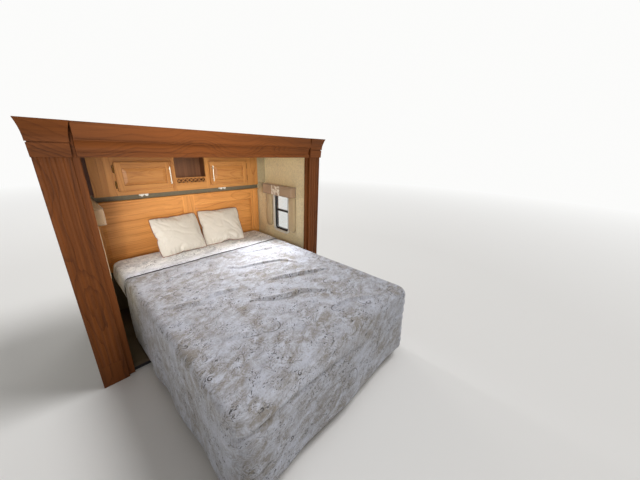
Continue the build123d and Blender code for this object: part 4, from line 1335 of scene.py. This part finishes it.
class SLIDEOUT_OT_stage(Operator):
    """Make the floor, the lamps and the camera"""
    bl_idname = "slideout.stage"
    bl_label = "Stage"

    def execute(self, context):
        scene = context.scene
        stage = scene.slideout_stage
        self.make_floor(scene, stage)
        self.make_world(scene)
        self.make_lamps(scene, stage)
        self.make_camera(scene)
        scene.view_settings.view_transform = "Standard"
        return {"FINISHED"}

    def make_floor(self, scene, stage):
        """A plain floor, which fades into the backdrop for the camera."""
        f = Finish("stage_floor")
        here = f.place("x")
        grain = f.noise(here, 40.0, 3.0)
        f.surface(Base_Color=stage.floor, Roughness=0.75 + grain * 0.1, Specular_IOR_Level=0.2)
        glow = f.node("ShaderNodeEmission", None, {"Color": (*BACKDROP, 1.0)})
        far = f.vector("LENGTH", here).rising(*FADE)
        f.blend(far * f.ray("Camera"), f.shader, glow, "Material Output")
        bm = bmesh.new()
        bmesh.ops.create_grid(bm, x_segments=8, y_segments=8, size=30.0)
        mesh = bpy.data.meshes.new("stage_floor")
        bm.to_mesh(mesh)
        bm.free()
        mesh.materials.append(f.material)
        floor = bpy.data.objects.new("stage_floor", mesh)
        floor.location.z = -0.0005
        scene.collection.objects.link(floor)

    def make_world(self, scene):
        """Soft light from all around, with the backdrop where it is seen or mirrored."""
        world = bpy.data.worlds.new("studio")
        scene.world = world
        world.use_nodes = True
        sky = Nodes(world.node_tree)
        light = sky.tree.nodes["Background"]
        sky.put(light.inputs["Color"], (1.0, 0.985, 0.96, 1.0))
        sky.put(light.inputs["Strength"], 0.34)
        seen = sky.node("ShaderNodeBackground", None, {"Color": (*BACKDROP, 1.0), "Strength": 1.0})
        sky.blend(sky.ray("Camera", "Transmission", "Glossy"), light, seen, "World Output")

    def make_lamps(self, scene, stage):
        def hang(lamp, power, colour, ahead, at=(0.0, 0.0, 0.0)):
            lamp.energy = power
            lamp.color = colour
            holder = bpy.data.objects.new(lamp.name, lamp)
            holder.location = at
            holder.rotation_euler = Vector(ahead).to_track_quat("-Z", "Y").to_euler()
            scene.collection.objects.link(holder)
            return holder

        sun = bpy.data.lights.new("key", "SUN")
        sun.angle = math.radians(26)
        hang(sun, stage.key, (0.98, 0.985, 1.0), (-0.52, 0.22, -0.80))
        pane_low, pane_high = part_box("window_frame_right")
        at_right = Vector((
            pane_low.x - 0.13, (pane_low.y + pane_high.y) / 2, (pane_low.z + pane_high.z) / 2 + 0.18))
        at_left = Vector((-at_right.x, at_right.y, at_right.z))
        for name, at, to, size, spread, power, colour in (
            ("fill", (-1.6, FACE_Y - 4.2, 1.7), (0.15, FACE_Y + 0.9, 1.2), 1.2, 26, stage.fill, WARM),
            ("back", (2.5, FACE_Y + 6.0, 4.5), (0.0, FACE_Y + 0.6, 0.8), 4.0, 180, 90.0, PLAIN),
            ("right window", at_right, (-0.5, FACE_Y - 0.75, 0.45), 0.22, 105, stage.window, DAYLIGHT),
            ("left window", at_left, (0.4, FACE_Y + 0.3, 0.5), 0.22, 150, stage.window * 0.17, DAYLIGHT),
        ):
            lamp = bpy.data.lights.new(name, "AREA")
            lamp.size = size
            lamp.spread = math.radians(spread)
            holder = hang(lamp, power, colour, Vector(to) - Vector(at), at)
            holder.visible_camera = holder.visible_transmission = False
            holder.visible_glossy = name in ("fill", "back")

    def make_camera(self, scene):
        lens = bpy.data.cameras.new("photo_view")
        lens.sensor_width = CAMERA_SENSOR
        lens.lens = CAMERA_LENS
        lens.clip_start = 0.05
        camera = bpy.data.objects.new("photo_view", lens)
        turn = Matrix.Identity(4)
        for degrees, axis in ((CAMERA_HEADING, "Z"), (90 - CAMERA_DOWN, "X"), (CAMERA_ROLL, "Z")):
            turn = turn @ Matrix.Rotation(math.radians(degrees), 4, axis)
        camera.matrix_world = Matrix.Translation((CAMERA_X, FACE_Y - CAMERA_BACK, CAMERA_HEIGHT)) @ turn
        scene.collection.objects.link(camera)
        scene.camera = camera


class SLIDEOUT_PT_tools(Panel):
    """The slide-out's steps, in order"""
    bl_idname = "SLIDEOUT_PT_tools"
    bl_label = "Bed slide-out"
    bl_space_type = "VIEW_3D"
    bl_region_type = "UI"
    bl_category = "Slide-out"

    def draw(self, context):
        for step in STEPS:
            self.layout.operator(step.bl_idname)
        for group in GROUPS:
            box = self.layout.box()
            data = getattr(context.scene, group)
            for key in data.__annotations__:
                box.prop(data, key)


STEPS = (SLIDEOUT_OT_shell, SLIDEOUT_OT_woodwork, SLIDEOUT_OT_windows, SLIDEOUT_OT_hardware,
         SLIDEOUT_OT_valances, SLIDEOUT_OT_mattress, SLIDEOUT_OT_quilt, SLIDEOUT_OT_head_cover,
         SLIDEOUT_OT_pillows, SLIDEOUT_OT_stage)
GROUPS = {"slideout_wood": SlideoutWood, "slideout_shell": SlideoutShell, "slideout_cloth": SlideoutCloth,
          "slideout_stage": SlideoutStage}


def register():
    for group, kind in GROUPS.items():
        bpy.utils.register_class(kind)
        setattr(bpy.types.Scene, group, PointerProperty(type=kind))
    for step in (*STEPS, SLIDEOUT_PT_tools):
        bpy.utils.register_class(step)


def unregister():
    for step in reversed((*STEPS, SLIDEOUT_PT_tools)):
        bpy.utils.unregister_class(step)
    for group, kind in reversed(GROUPS.items()):
        delattr(bpy.types.Scene, group)
        bpy.utils.unregister_class(kind)


def main():
    register()
    for step in STEPS:
        name = step.bl_idname.split(".")[1]
        getattr(bpy.ops.slideout, name)()


if __name__ == "__main__":
    main()
